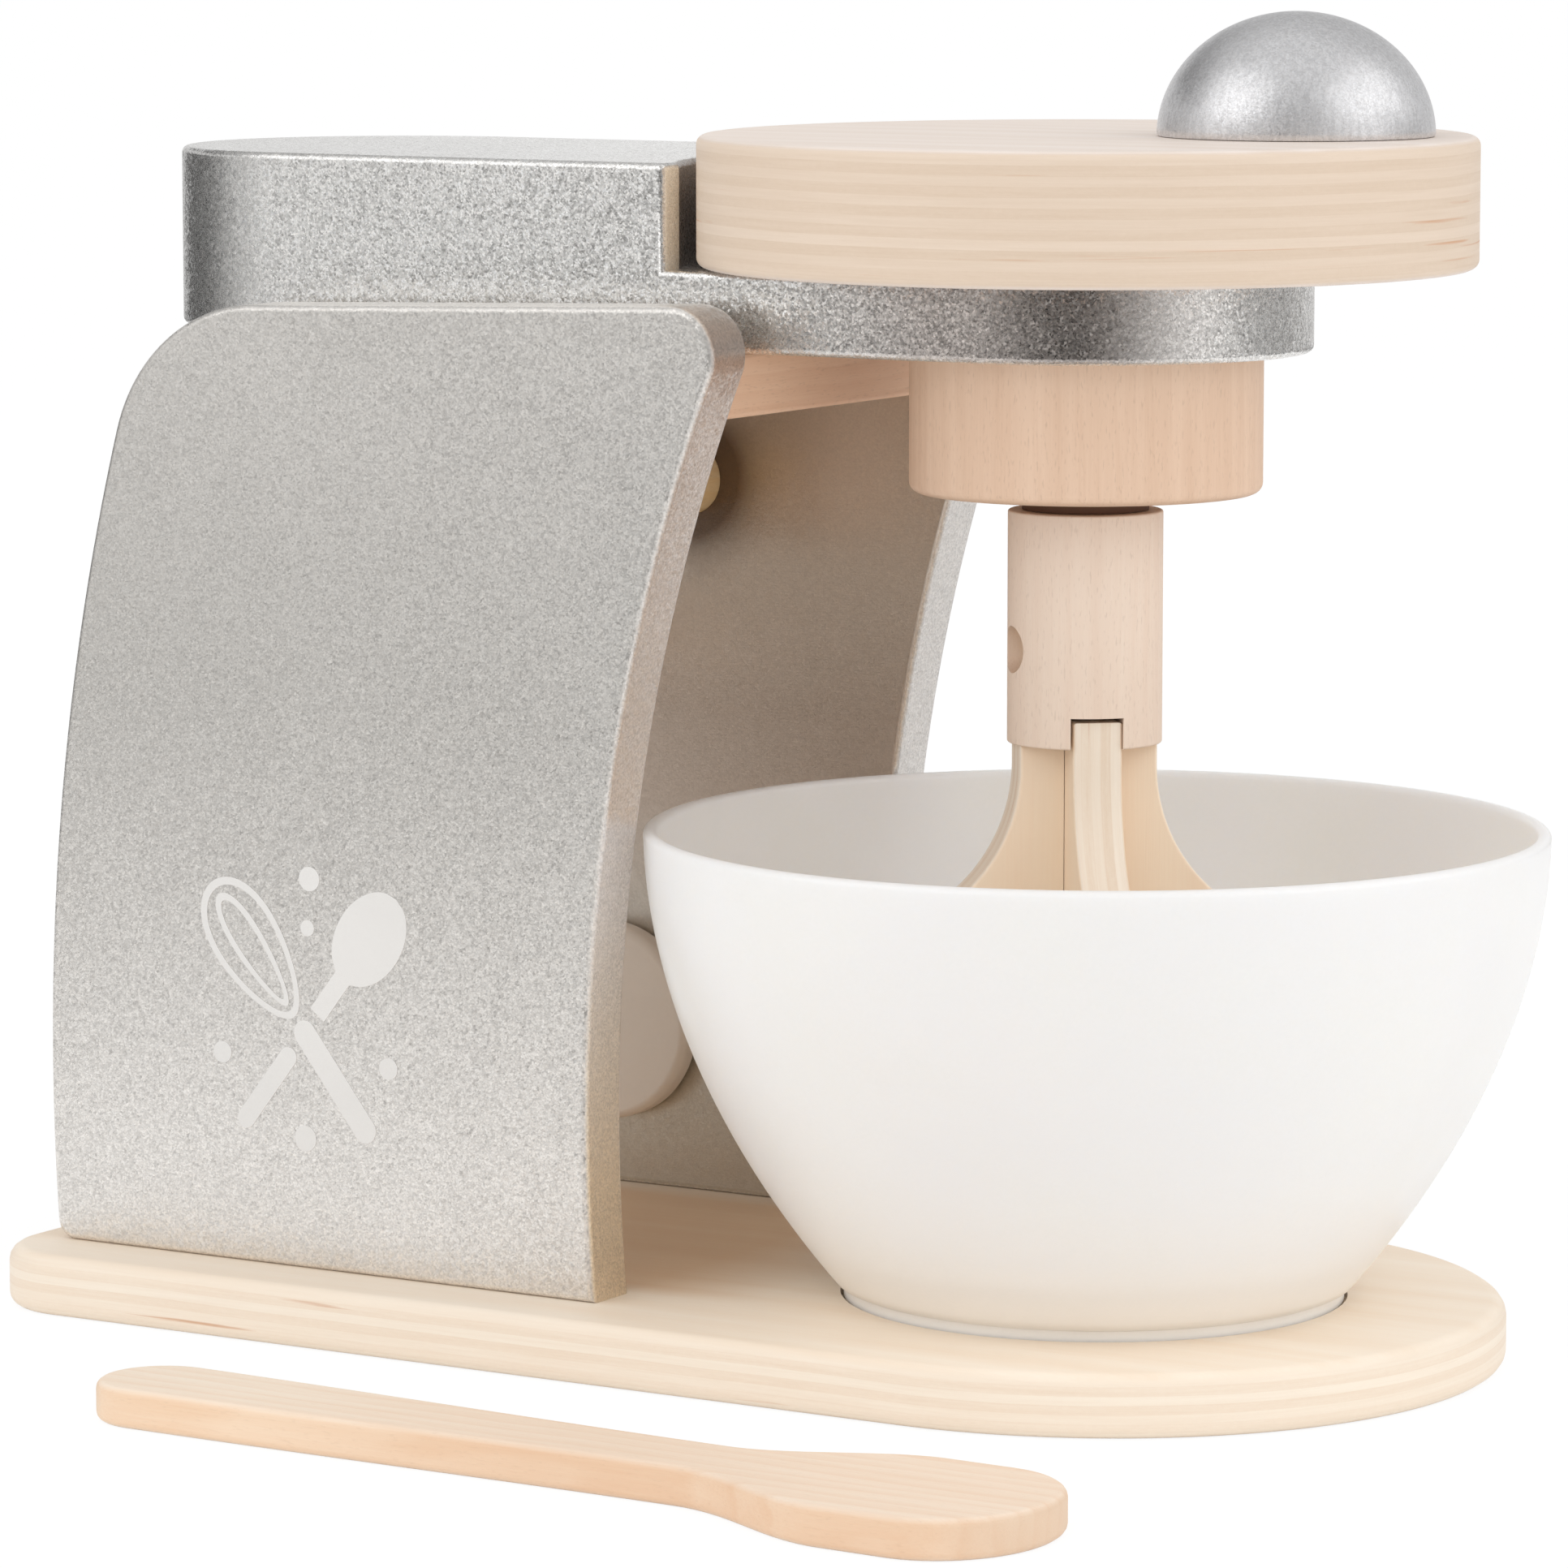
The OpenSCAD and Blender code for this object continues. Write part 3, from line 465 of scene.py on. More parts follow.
def silver_paint(name, shade, grain, tilt, contrast, roughness, metallic, streaks=0.0, step=False,
                 edges=None, inner=None):
    """Sprayed aluminium paint of fine flakes, with its grain in millimetres. Streaks are sanding marks.
    Step paints reflection and shade on the head's cut face and plate. Edges are tints of the front and
    rear edge, low, halfway and high, which are painted reflection and shade, and with them the side
    faces get a painted shade above their lowest part. Inner is the place of a painted shadow on the face
    to -Y, which is smooth and has a painted warm shade."""
    s = Shader(name, roughness=roughness, metallic=metallic)
    small, lean = s.flakes(s.point, 1 / grain)
    large, lean_large = s.flakes(s.moved(s.point, (11.3, 5.7, 3.1)), 0.6 / grain)
    cloud = s.noise(s.point, 0.05, detail=2)
    tone = s.sum(s.times(small[0], 0.68), s.times(large[0], 0.22), s.times(cloud, 0.2))
    if streaks:
        marks = s.noise(s.point, (1.6, 1.6, 0.22), detail=2)
        tone = s.sum(tone, s.span(marks, 0.3, 0.7, -streaks, streaks))
    colour = s.mix(s.span(tone, 0.1, 1.0), shaded(shade, 1 - contrast), shaded(shade, 1 + contrast))
    colour = s.tint(s.times(small[1], 0.12), colour, srgb(214, 198, 180))
    strength = 1.0
    x, y, z = s.parts(s.point)
    ahead, aside, above = s.parts(s.normal)
    # Painted reflection and shade: the front and rear edges are tinted by height, and the side faces are
    # painted darker above their lowest part, standing in for the pale floor reflected low down.
    if edges:
        tint = s.mix(s.span(z, 25, 65), edges[0], edges[1])
        tint = s.mix(s.span(z, 80, 125), tint, edges[2])
        colour = s.tint(s.span(s.size(ahead), 0.6, 0.9), colour, tint)
        side = s.span(s.size(aside), 0.7, 0.95)
        side = s.times(side, s.span(z, 25, 90), s.span(z, 95, 135, 1.0, 0.65))
        colour = s.tint(side, colour, srgb(234, 234, 233))
    # Painted shade on the far panel's inner face: a warm painted shade below the top, grey lower down, and
    # a dark painted shadow round the pivot dowel for the neck block's shadow and dark reflection. The coat
    # there is also calmer and less bumpy.
    if inner:
        painted_warm_shade = s.mix(s.span(z, 40, 70), srgb(225, 224, 218), srgb(227, 213, 202))
        painted_warm_shade = s.mix(s.span(z, 84, 106), painted_warm_shade, srgb(254, 245, 236))
        shaded_inside = s.mix(1.0, s.mix(0.65, colour, shade), painted_warm_shade, "MULTIPLY")
        away = s.distance(s.sum(x, -inner[0]), s.sum(z, -inner[1]))
        painted_shadow = s.span(s.sum(away, s.times(cloud, 3.0)), 20.0, 10.5)
        shaded_inside = s.mix(s.times(painted_shadow, painted_shadow, 0.85), shaded_inside, srgb(96, 78, 64))
        inside = s.span(aside, -0.7, -0.95)
        colour = s.mix(inside, colour, shaded_inside)
        strength = s.span(inside, 0.0, 1.0, 1.0, 0.4)
    # Painted reflection and shade on the head: the land beside the hollow gets a painted reflection of the
    # disc's wood, the hollow a painted shade, and the plate's upright sides a painted shade under the disc
    # with a darker painted reflection just ahead of the axle. Land and hollow are made less metallic so
    # that these colours show.
    if step:
        beside = s.span(s.size(y), HOLLOW_HALF - 0.1, HOLLOW_HALF)
        cut_face = s.span(x, -HEAD_STEP + 1, -HEAD_STEP + 0.2)
        land = s.times(s.span(ahead, 0.85, 0.97), cut_face, beside)
        hollow = s.times(s.span(ahead, 0.2, 0.5), cut_face, s.maths("SUBTRACT", 1.0, beside))
        colour = s.mix(s.times(hollow, 0.75), colour, srgb(118, 100, 87))
        colour = s.mix(land, colour, srgb(252, 242, 224))
        upright = s.span(s.size(above), 0.8, 0.5)
        shade_under_disc = s.times(upright, s.span(x, -30, -8), s.span(x, 31, 17))
        colour = s.tint(shade_under_disc, colour, srgb(220, 213, 210))
        dark_reflection = s.span(s.size(s.sum(x, -13.5)), 13.0, 1.0, 0.0, 0.34)
        colour = s.mix(s.times(upright, dark_reflection), colour, srgb(60, 56, 54))
        s.feed({"Metallic": s.sum(metallic, s.times(s.sum(land, hollow), -0.75))})
    rough = s.span(small[2], 0.0, 1.0, roughness - 0.05, roughness + 0.08)
    return s.finish(colour, s.bump(s.sum(lean, lean_large), tilt, strength), rough)


def grain_frame(s, along):
    """The point with its first part along the grain, which runs along axis 0, 1 or 2."""
    x, y, z = s.parts(s.point)
    a, b, c = ((x, y, z), (y, z, x), (z, x, y))[along]
    return s.node("ShaderNodeCombineXYZ", {0: a, 1: b, 2: c}).outputs[0]


def solid_wood(name, light, dark, along, ring=2.6, pith=(3.0, 38.0), flecks=0.3, figure=0.3, side=None,
               warm=None):
    """Clear hardwood with growth rings about a far pith. Side is a tint of the faces that don't look
    up or down. Warm is a tint that comes in along the grain between two places."""
    s = Shader(name, roughness=0.55, specular=0.35)
    p = grain_frame(s, along)
    x, y, z = s.parts(p)
    sway = s.noise(p, (0.012, 0.05, 0.05))
    radius = s.sum(s.distance(s.sum(y, pith[0]), s.sum(z, pith[1])), s.times(sway, 9.0))
    growth = s.maths("FRACT", s.times(radius, 1 / ring))
    rings = s.times(s.maths("POWER", growth, 1.8), s.span(growth, 0.86, 1.0, 1.0, 0.0))
    fibres = s.noise(p, (0.09, 3.2, 3.2), roughness=0.6)
    streaks = s.noise(p, (0.015, 0.30, 0.30))
    dashes = s.noise(p, (0.75, 3.6, 3.6), detail=1)
    tone = s.sum(s.times(rings, figure), s.times(fibres, 0.4), s.times(streaks, 0.6))
    colour = s.mix(s.span(tone, 0.25, 1.0), light, dark)
    fleck = s.span(dashes, 0.60, 0.74, 0.0, flecks)
    colour = s.mix(fleck, colour, shaded(dark, 0.72))
    if side:
        colour = s.tint(s.span(s.size(s.parts(s.normal)[2]), 0.9, 0.4), colour, side)
    if warm:
        start, full, tint = warm
        colour = s.tint(s.span(x, start, full), colour, tint)
    end = s.span(s.size(s.parts(s.normal)[along]), 0.5, 0.95, 0.0, 0.55)
    colour = s.mix(end, colour, shaded(dark, 0.82))
    height = s.sum(fibres, s.times(fleck, -0.8))
    return s.finish(colour, s.bump(height, 0.03), s.span(fibres, 0.2, 0.8, 0.48, 0.63))


def plywood(name, light, dark, edge_light, edge_dark, low, ply, along=0, edge_axis=2, turn=0.0, lines=1.0,
            shade_between_panels=None):
    """Plywood whose edges show the plies from low upwards. The patch given by two places along the grain
    and a half width is painted shade: the face browner where the board lies between the side panels."""
    s = Shader(name, roughness=0.5, specular=0.35)
    if turn:
        s.point, s.normal = (s.node("ShaderNodeVectorRotate", {"Vector": vector, "Angle": turn},
                                    rotation_type="Z_AXIS").outputs[0] for vector in (s.point, s.normal))

    def along_plies(vector, flat, tall, detail, roughness=0.5):
        """Noise with one scale along the plies and one across them."""
        scale = [flat, flat, flat]
        scale[edge_axis] = tall
        return s.noise(vector, tuple(scale), detail, roughness)

    p = grain_frame(s, along)
    x, y, z = s.parts(p)
    sway = s.noise(p, (0.010, 0.035, 0.035))
    figure = s.maths("PINGPONG", s.sum(s.times(y, 0.085), s.times(sway, 2.6)), 0.5)
    fibres = s.noise(p, (0.07, 2.6, 2.6), roughness=0.6)
    streaks = s.noise(p, (0.012, 0.20, 0.20))
    tone = s.sum(s.times(figure, 0.45), s.times(fibres, 0.35), s.times(streaks, 0.6))
    face = s.mix(s.span(tone, 0.35, 1.05), light, dark)
    # Painted shade: the face browner between the side panels, in their shade.
    if shade_between_panels:
        rear, front, half = shade_between_panels
        shade_patch = s.times(s.span(x, front + 10, front - 10), s.span(x, rear, rear + 35),
                        s.span(s.size(y), half + 1, half - 6))
        face = s.tint(shade_patch, face, srgb(240, 220, 200))

    wave = s.noise(s.point, 0.02, detail=2)
    layer = s.sum(s.times(s.sum(s.parts(s.point)[edge_axis], -low), 1 / ply), s.times(wave, 0.5))
    index = s.maths("FLOOR", layer)
    alternate = s.maths("MODULO", index, 2.0)
    tone_of_ply = s.node("ShaderNodeTexWhiteNoise", {"W": index}, noise_dimensions="1D").outputs["Value"]
    seam = s.span(s.size(s.sum(s.maths("FRACT", layer), -0.5)), 0.42, 0.5)
    bands = along_plies(s.point, 0.05, 1.7, 4, 0.65)
    pores = along_plies(s.point, 0.9, 2.2, 3, 0.7)
    tone = s.sum(s.times(alternate, 0.16), s.times(tone_of_ply, 0.16), s.times(bands, 0.75),
                 s.times(pores, s.sum(s.times(alternate, 0.2), 0.12)), s.times(seam, 0.10))
    edge = s.mix(s.span(tone, 0.35, 1.15, 0.5 - lines / 2, 0.5 + lines / 2), edge_light, edge_dark)
    knots = along_plies(s.moved(s.point, (31.0, 17.0, 5.0)), 0.022, 0.8, 3)
    scar = s.times(s.span(knots, 0.66, 0.74, 0.0, 0.55), s.sum(alternate, 0.3))
    edge = s.mix(scar, edge, srgb(206, 150, 108))

    facing = s.span(s.size(s.parts(s.normal)[edge_axis]), 0.55, 0.85)
    height = s.sum(fibres, s.times(bands, 0.7))
    return s.finish(s.mix(facing, edge, face), s.bump(height, 0.03), s.span(fibres, 0.2, 0.8, 0.45, 0.58))


def smooth_coat(name, colour, roughness, relief, coat=0.0, milky=None):
    """A smooth coat or moulding. Milky lets light through, not at all below its first height and in
    full above its second."""
    s = Shader(name, roughness=roughness)
    s.feed({"Coat Weight": coat, "Coat Roughness": 0.12})
    if milky:
        depth = s.span(s.parts(s.point)[2], *milky)
        s.feed({"Subsurface Weight": depth, "Subsurface Radius": (1.0, 0.94, 0.88),
                "Subsurface Scale": 5 * MM})
    cloud = s.noise(s.point, 0.045)
    skin = s.noise(s.point, 1 / 0.6)
    tone = s.span(s.sum(s.times(cloud, 0.8), s.times(skin, 0.2)), 0.35, 0.65)
    rough = s.span(cloud, 0.3, 0.7, roughness - 0.03, roughness + 0.05)
    return s.finish(s.mix(tone, shaded(colour, 0.955), colour), s.bump(skin, relief), rough)


def steel(name, colour, roughness):
    """Plated or blackened steel with fine turning marks."""
    s = Shader(name, roughness=roughness, metallic=1.0)
    marks = s.noise(s.point, (3.0, 3.0, 9.0))
    tone = s.mix(s.span(marks, 0.3, 0.7), shaded(colour, 0.75), colour)
    return s.finish(tone, s.bump(marks, 0.02), s.span(marks, 0.3, 0.7, roughness - 0.08, roughness + 0.1))


BIRCH = srgb(253, 240, 223), srgb(246, 226, 203)
BIRCH_EDGE = srgb(253, 242, 226), srgb(236, 213, 189)
# The disc's birch is darker than the base's: painted shade, for the disc standing higher, where less light
# falls.
DISC_FACE = srgb(240, 228, 219), srgb(230, 214, 200)
DISC_EDGE = srgb(235, 217, 199), srgb(210, 186, 161)
COLLAR_BEECH = srgb(238, 208, 183), srgb(219, 183, 155)
SHAFT_BEECH = srgb(248, 230, 213), srgb(236, 210, 190)
RAIL_BEECH = srgb(250, 215, 186), srgb(236, 194, 162)
BLADE_FACE = srgb(255, 237, 213), srgb(251, 224, 197)
BLADE_EDGE = srgb(254, 242, 226), srgb(238, 216, 192)
SPATULA_WOOD = srgb(255, 243, 227), srgb(246, 220, 194)
DOWEL_WOOD = srgb(240, 216, 176), srgb(224, 190, 142)
PIVOT_WOOD = srgb(255, 230, 186), srgb(250, 212, 152)
# Tints of the panels' front and rear edges, low, halfway and high: on the near panel a warm painted
# reflection low down and painted shade high up, on the far panel painted shade all along.
NEAR_EDGE_SHADES = srgb(255, 242, 221), srgb(254, 252, 253), srgb(227, 219, 215)
FAR_EDGE_SHADES = (srgb(232, 231, 231),) * 3

base_low, base_high = box("base_board")
disc_low, disc_high = box("crank_disc")
bowl_low, bowl_high = box("bowl")
panel_low, panel_high = box("left_side_panel")
pivot = sum(box("pivot_dowel"), Vector()) / 2
axle_low, axle_high = box("drive_axle")
axle_d = axle_high.x - axle_low.x

PANEL_PAINT = dict(shade=srgb(240, 237, 233), grain=0.27, tilt=0.13, contrast=0.17, roughness=0.34,
                   metallic=0.88)
# Both panels' paints have painted reflection and shade on their edges and side faces.
paint_panel = silver_paint("silver_paint_panel", **PANEL_PAINT, edges=NEAR_EDGE_SHADES)
# Inner places the far panel's painted shadow round the pivot dowel.
paint_far = silver_paint("silver_paint_far", **PANEL_PAINT, edges=FAR_EDGE_SHADES, inner=(pivot.x, pivot.z))
# The head's paint has painted reflection and shade at its step and under the disc.
paint_head = silver_paint("silver_paint_head", srgb(238, 237, 235), grain=0.28, tilt=0.15, contrast=0.32,
                          roughness=0.25, metallic=0.97, step=True)
paint_knob = silver_paint("silver_paint_knob", srgb(224, 224, 226), grain=0.24, tilt=0.05, contrast=0.12,
                          roughness=0.34, metallic=0.96, streaks=0.3)
# The base gets a painted shade between the side panels.
ply_base = plywood("birch_plywood_base", *BIRCH, *BIRCH_EDGE, low=base_low.z, ply=1.29, lines=0.65,
                   shade_between_panels=(panel_low.x + 5, panel_high.x - 12, panel_low.y))
# The disc's plywood is a darker copy of the base's, as painted shade.
ply_disc = plywood("birch_plywood_disc", *DISC_FACE, *DISC_EDGE, low=disc_low.z, ply=1.42, lines=0.6)
BLADE_PLY = dict(low=-BLADE_T / 2, ply=1.4, along=2, edge_axis=1)
ply_blade_a = plywood("blade_plywood_a", *BLADE_FACE, *BLADE_EDGE, turn=-BLADE_TURN, **BLADE_PLY)
ply_blade_b = plywood("blade_plywood_b", *BLADE_FACE, *BLADE_EDGE, turn=-BLADE_TURN - QUARTER, **BLADE_PLY)
beech_collar = solid_wood("beech_collar", *COLLAR_BEECH, along=2, figure=0.12)
beech_shaft = solid_wood("beech_shaft", *SHAFT_BEECH, along=2, figure=0.12)
beech_rail = solid_wood("beech_rail", *RAIL_BEECH, along=1)
spatula_wood = solid_wood("spatula_wood", *SPATULA_WOOD, along=0, ring=3.4, pith=(4.0, 9.0), flecks=0.15,
                          side=srgb(250, 238, 226), warm=(-70, -20, srgb(247, 241, 237)))
dowel_pivot = solid_wood("dowel_pivot", *PIVOT_WOOD, along=1, ring=1.8)
dowel_across = solid_wood("dowel_across", *DOWEL_WOOD, along=1, ring=1.8)
dowel_upright = solid_wood("dowel_upright", *DOWEL_WOOD, along=2, ring=1.8)
bowl_white = smooth_coat("bowl_white", srgb(254, 251, 246), roughness=0.32, relief=0.006,
                         milky=(bowl_low.z + FOOT_H, bowl_low.z + MILKY_H))
disc_white = smooth_coat("disc_white_paint", srgb(255, 246, 235), roughness=0.42, relief=0.02)
knob_white = smooth_coat("knob_white_paint", srgb(246, 243, 239), roughness=0.4, relief=0.02, coat=0.2)
print_white = smooth_coat("print_white", srgb(231, 229, 226), roughness=0.5, relief=0.01)
# The washers' dark brown is painted shade, for the dark gaps they sit in.
gap_shade = smooth_coat("washer_fibre", srgb(104, 74, 55), roughness=0.75, relief=0.05)
zinc = steel("zinc_steel", srgb(196, 192, 180), roughness=0.35)
dark_steel = steel("dark_screw_steel", srgb(112, 52, 46), roughness=0.45)


def panel_outline(front_waist):
    """Outline of a side panel in the XZ plane: arcs that run into each other."""
    foot_z = base_high.z
    front_c = Vector((front_waist + FRONT_ARC_R, WAIST_Z))
    rear_c = Vector((front_waist - PANEL_W + REAR_ARC_R, WAIST_Z))
    along = Vector((cos(TOP_SLOPE), sin(TOP_SLOPE)))
    normal = Vector((-along.y, along.x))
    top = Vector((front_waist, foot_z + PANEL_H))

    def corner(start, direction, centre, radius):
        """Where a line meets a circle, on the rear side."""
        away = start - centre
        b = away.dot(direction)
        return start + direction * (-b - sqrt(b * b - away.dot(away) + radius * radius))

    def bearing(centre, point):
        return atan2(*(point - centre).yx) % (2 * pi)

    k1 = corner(top - normal * FRONT_TOP_R, along, front_c, FRONT_ARC_R + FRONT_TOP_R)
    k2 = corner(top - normal * REAR_TOP_R, along, rear_c, REAR_ARC_R - REAR_TOP_R)
    foot = Vector((front_waist, foot_z + REAR_FOOT_R))
    k3 = corner(foot, Vector((1, 0)), rear_c, REAR_ARC_R - REAR_FOOT_R)
    start = pi + asin((WAIST_Z - foot_z) / FRONT_ARC_R)
    a1, a2, a3 = bearing(front_c, k1), bearing(rear_c, k2), bearing(rear_c, k3)
    up = QUARTER + TOP_SLOPE
    points = arc(front_c, FRONT_ARC_R, start, a1, 40)
    points += arc(k1, FRONT_TOP_R, a1 - pi, up, 14)
    points += arc(k2, REAR_TOP_R, up, a2, 24)
    points += arc(rear_c, REAR_ARC_R, a2, a3, 40)
    points += arc(k3, REAR_FOOT_R, a3, 3 * QUARTER, 8)
    return [p for i, p in enumerate(points) if (p - points[i - 1]).length > 1e-4]


def build_panels():
    low, high = panel_low, panel_high
    outline = panel_outline(low.x + PANEL_W)
    for node, paint, near, far in (("left_side_panel", paint_far, -high.y, -low.y),
                                   ("right_side_panel", paint_panel, low.y, high.y)):
        piece = plate(node + "_painted", outline, near, far, PAINTED_ARRIS, PAINTED_ARRIS, in_xz)
        cutters = dowel_bores(RUN_GAP, "pivot_dowel")
        cutters += dowel_bores(GLUE_GAP, "tilt_stop_dowel", "rail_dowels", "panel_dowels")
        cutters += dowel_bores(-SCREW_EDGE, "panel_screws")
        if node == "left_side_panel":
            cutters += dowel_bores(RUN_GAP, "speed_spindle")
        dress(piece, paint, "stand", [node], cutters)


def build_base():
    low, high = base_low, base_high
    half = high.y
    rear, aside = low.x + BASE_CORNER, half - BASE_CORNER
    outline = arc((high.x - half, 0), half, -QUARTER, QUARTER, 96)
    outline += arc((rear, aside), BASE_CORNER, QUARTER, pi, 16)
    outline += arc((rear, -aside), BASE_CORNER, pi, 3 * QUARTER, 16)
    piece = plate("base_board_plywood", outline, low.z, high.z, BASE_FOOT_ARRIS, BASE_ARRIS)
    centre = (bowl_low.x + bowl_high.x) / 2
    recess = rod((centre, 0, bowl_low.z), (centre, 0, high.z + PAST), 2 * (FOOT_R + FOOT_GAP), STEPS)
    cutters = [recess] + dowel_bores(GLUE_GAP, "panel_dowels")
    for screw_low, screw_high in solids("panel_screws"):
        x, y = ((screw_low + screw_high) / 2).xy
        head_d = screw_high.x - screw_low.x
        cutters.append(rod((x, y, -PAST), (x, y, high.z + PAST), SCREW_BORE))
        cutters.append(countersink(x, y, screw_low.z, head_d + 2 * HEAD_GAP))
    dress(piece, ply_base, "stand", ["base_board"], cutters)


def build_block(node, wood, body, corner, arris, bores):
    """A block across the mixer with round corners."""
    low, high = box(node)
    outline = rounded(low.xz, high.xz, corner)
    piece = plate(node + "_beech", outline, low.y, high.y, arris, arris, lambda u, v, h: (u, h, v))
    dress(piece, wood, body, [node], bores)


def build_head():
    """A long round-ended block, cut down to a plate in front by the hollow round the disc."""
    low, high = box("head")
    half = high.y
    plate_top = box("disc_washer")[0].z
    notch_turn = atan2(HOLLOW_HALF, -HEAD_STEP)
    front = arc((high.x - half, 0), half, -QUARTER, QUARTER, 72)
    rear = arc((low.x + half, 0), half, QUARTER, 3 * QUARTER, 72)
    hollow = arc((0, 0), NOTCH_R, notch_turn, 2 * pi - notch_turn, 40)
    left, right = [Vector((-HEAD_STEP, half))], [Vector((-HEAD_STEP, -half))]

    bm = bmesh.new()

    def row(points, z):
        return [bm.verts.new(Vector((p.x, p.y, z)) * MM) for p in points]

    def wall(a, b):
        for i in range(len(a) - 1):
            bm.faces.new([a[i], a[i + 1], b[i + 1], b[i]])

    bottom = row(right + front + left + rear, low.z)
    step = row(right + front + left + hollow, plate_top)
    top = row(left + rear + right + hollow[::-1], high.z)
    n = len(front)
    bm.faces.new(bottom[::-1])
    bm.faces.new(step)
    bm.faces.new(top)
    wall(bottom[:n + 2], step[:n + 2])
    wall(bottom[n + 2:], top[1:n + 1])
    wall((step[n + 1:] + step[:1])[::-1], top[n + 1:] + top[:1])
    bm.faces.new([bottom[n + 1], bottom[n + 2], top[1], top[0], step[n + 1]])
    bm.faces.new([bottom[-1], bottom[0], step[0], top[n + 1], top[n]])
    bmesh.ops.recalc_face_normals(bm, faces=bm.faces)
    bm.normal_update()

    inner = set(step[n + 1:] + step[:1])
    arrises = [edge for edge in bm.edges if len(edge.link_faces) == 2 and not set(edge.verts) <= inner
               and edge.calc_face_angle_signed() >= radians(30)]
    bmesh.ops.bevel(bm, geom=arrises, offset=PAINTED_ARRIS * MM, offset_type="OFFSET", segments=4,
                    profile=0.5, affect="EDGES", clamp_overlap=True)
    mesh = bpy.data.meshes.new("head_painted")
    bm.to_mesh(mesh)
    bm.free()
    piece = placed("head_painted", mesh)
    bore = rod((0, 0, low.z - PAST), (0, 0, plate_top + PAST), axle_d + 2 * RUN_GAP)
    dress(piece, paint_head, "head", ["head"],
          [bore] + dowel_bores(GLUE_GAP, "neck_dowels", "collar_dowels"))


def build_turned():
    """Collar, crank disc and knob."""
    low, high = box("collar")
    profile = round_profile(high.x, low.z, high.z, arris_low=1.5, arris_high=0.3)
    piece = lathe("collar_beech", profile, in_xy)
    bore = rod((0, 0, low.z - PAST), (0, 0, high.z + PAST), axle_d + 2 * RUN_GAP)
    dress(piece, beech_collar, "head", ["collar"],
          [bore] + dowel_bores(GLUE_GAP, "collar_dowels"))

    profile = round_profile(disc_high.x, disc_low.z, disc_high.z, DISC_ARRIS, DISC_ARRIS)
    piece = lathe("crank_disc_plywood", profile, in_xy, FINE_STEPS)
    dress(piece, ply_disc, "beater", ["crank_disc"],
          dowel_bores(GLUE_GAP, "drive_axle", "knob_dowel"))

    low, high = box("crank_knob")
    centre = (low + high) / 2
    radius = (high.x - low.x) / 2
    rise = high.z - low.z
    dome = [(radius * cos(t), rise * sin(t)) for t in even(0, QUARTER, 48)]
    profile = [(0, 0), (radius - 0.5, 0), (radius - 0.15, 0.12)]
    profile += [(r, h) for r, h in dome[:-1] if h > 0.4] + [(0, rise)]
    piece = lathe("crank_knob_painted", profile, lambda u, v, h: (centre.x + u, centre.y + v, low.z + h))
    dress(piece, paint_knob, "beater", ["crank_knob"], dowel_bores(GLUE_GAP, "knob_dowel"))


def build_shaft():
    low, high = box("beater_shaft")
    radius = high.y
    pin_low, pin_high = box("shaft_pin")
    blade_top = box("beater_blade_a")[1].z
    profile = round_profile(radius, low.z, high.z, SHAFT_ARRIS, SHAFT_ARRIS)
    piece = lathe("beater_shaft_beech", profile, in_xy, 128)
    across = Vector((cos(PIN_TURN), sin(PIN_TURN), 0)) * radius * 2
    level = Vector((0, 0, (pin_low.z + pin_high.z) / 2))
    bores = [
        rod((0, 0, axle_low.z - END_GAP), (0, 0, high.z + PAST), axle_d + 2 * GLUE_GAP),
        rod(level - across, level + across, pin_high.z - pin_low.z + 2 * GLUE_GAP),
        block((-2 * radius, -BLADE_T / 2 - BLADE_GAP, low.z - PAST),
              (2 * radius, BLADE_T / 2 + LAP_GAP / 2, blade_top + SLOT_GAP), BLADE_TURN),
    ]
    dress(piece, beech_shaft, "beater", ["beater_shaft"], bores)


def blade_half(top, shaft_z, blade_z):
    """Right half of a blade's outline, from its top down to its lower corner."""
    sweep_z = shaft_z - BLADE_DROP
    shoulder = (BLADE_R - BLADE_NECK) / 4
    end = pi + acos((BLADE_NECK + BLADE_SWEEP - BLADE_R + shoulder) / BLADE_SWEEP)
    end_z = sweep_z + BLADE_SWEEP * sin(end)
    points = [Vector((BLADE_NECK, top))]
    points += arc((BLADE_NECK + BLADE_SWEEP, sweep_z), BLADE_SWEEP, pi, end, 28)
    points += arc((BLADE_R - shoulder, end_z - shoulder), shoulder, QUARTER, 0, 12)
    points += arc((BLADE_R - BLADE_CORNER, blade_z + BLADE_CORNER), BLADE_CORNER, 0, -QUARTER, 16)
    return points


def build_blades():
    """The blades, half-lapped: blade a has its slot from below, blade b from above."""
    shaft_z = box("beater_shaft")[0].z
    for node, turn, paint in (("beater_blade_a", BLADE_TURN, ply_blade_a),
                              ("beater_blade_b", BLADE_TURN + QUARTER, ply_blade_b)):
        low, high = box(node)
        half = blade_half(high.z, shaft_z, low.z)
        outline = [Vector((-p.x, p.y)) for p in half] + half[::-1]
        swing = Matrix.Rotation(turn, 3, "Z")
        piece = plate(node + "_plywood", outline, -BLADE_T / 2, BLADE_T / 2, WOOD_ARRIS, WOOD_ARRIS,
                      lambda u, v, h: swing @ Vector((u, -h, v)))
        lap_z = (shaft_z + low.z) / 2
        side = BLADE_T / 2 + LAP_GAP
        start, end = lap_z - LAP_GAP, high.z + PAST
        if node == "beater_blade_a":
            start, end = low.z - PAST, lap_z + LAP_GAP
        dress(piece, paint, "beater", [node],
              [block((-side, -BLADE_T, start), (side, BLADE_T, end), turn)])


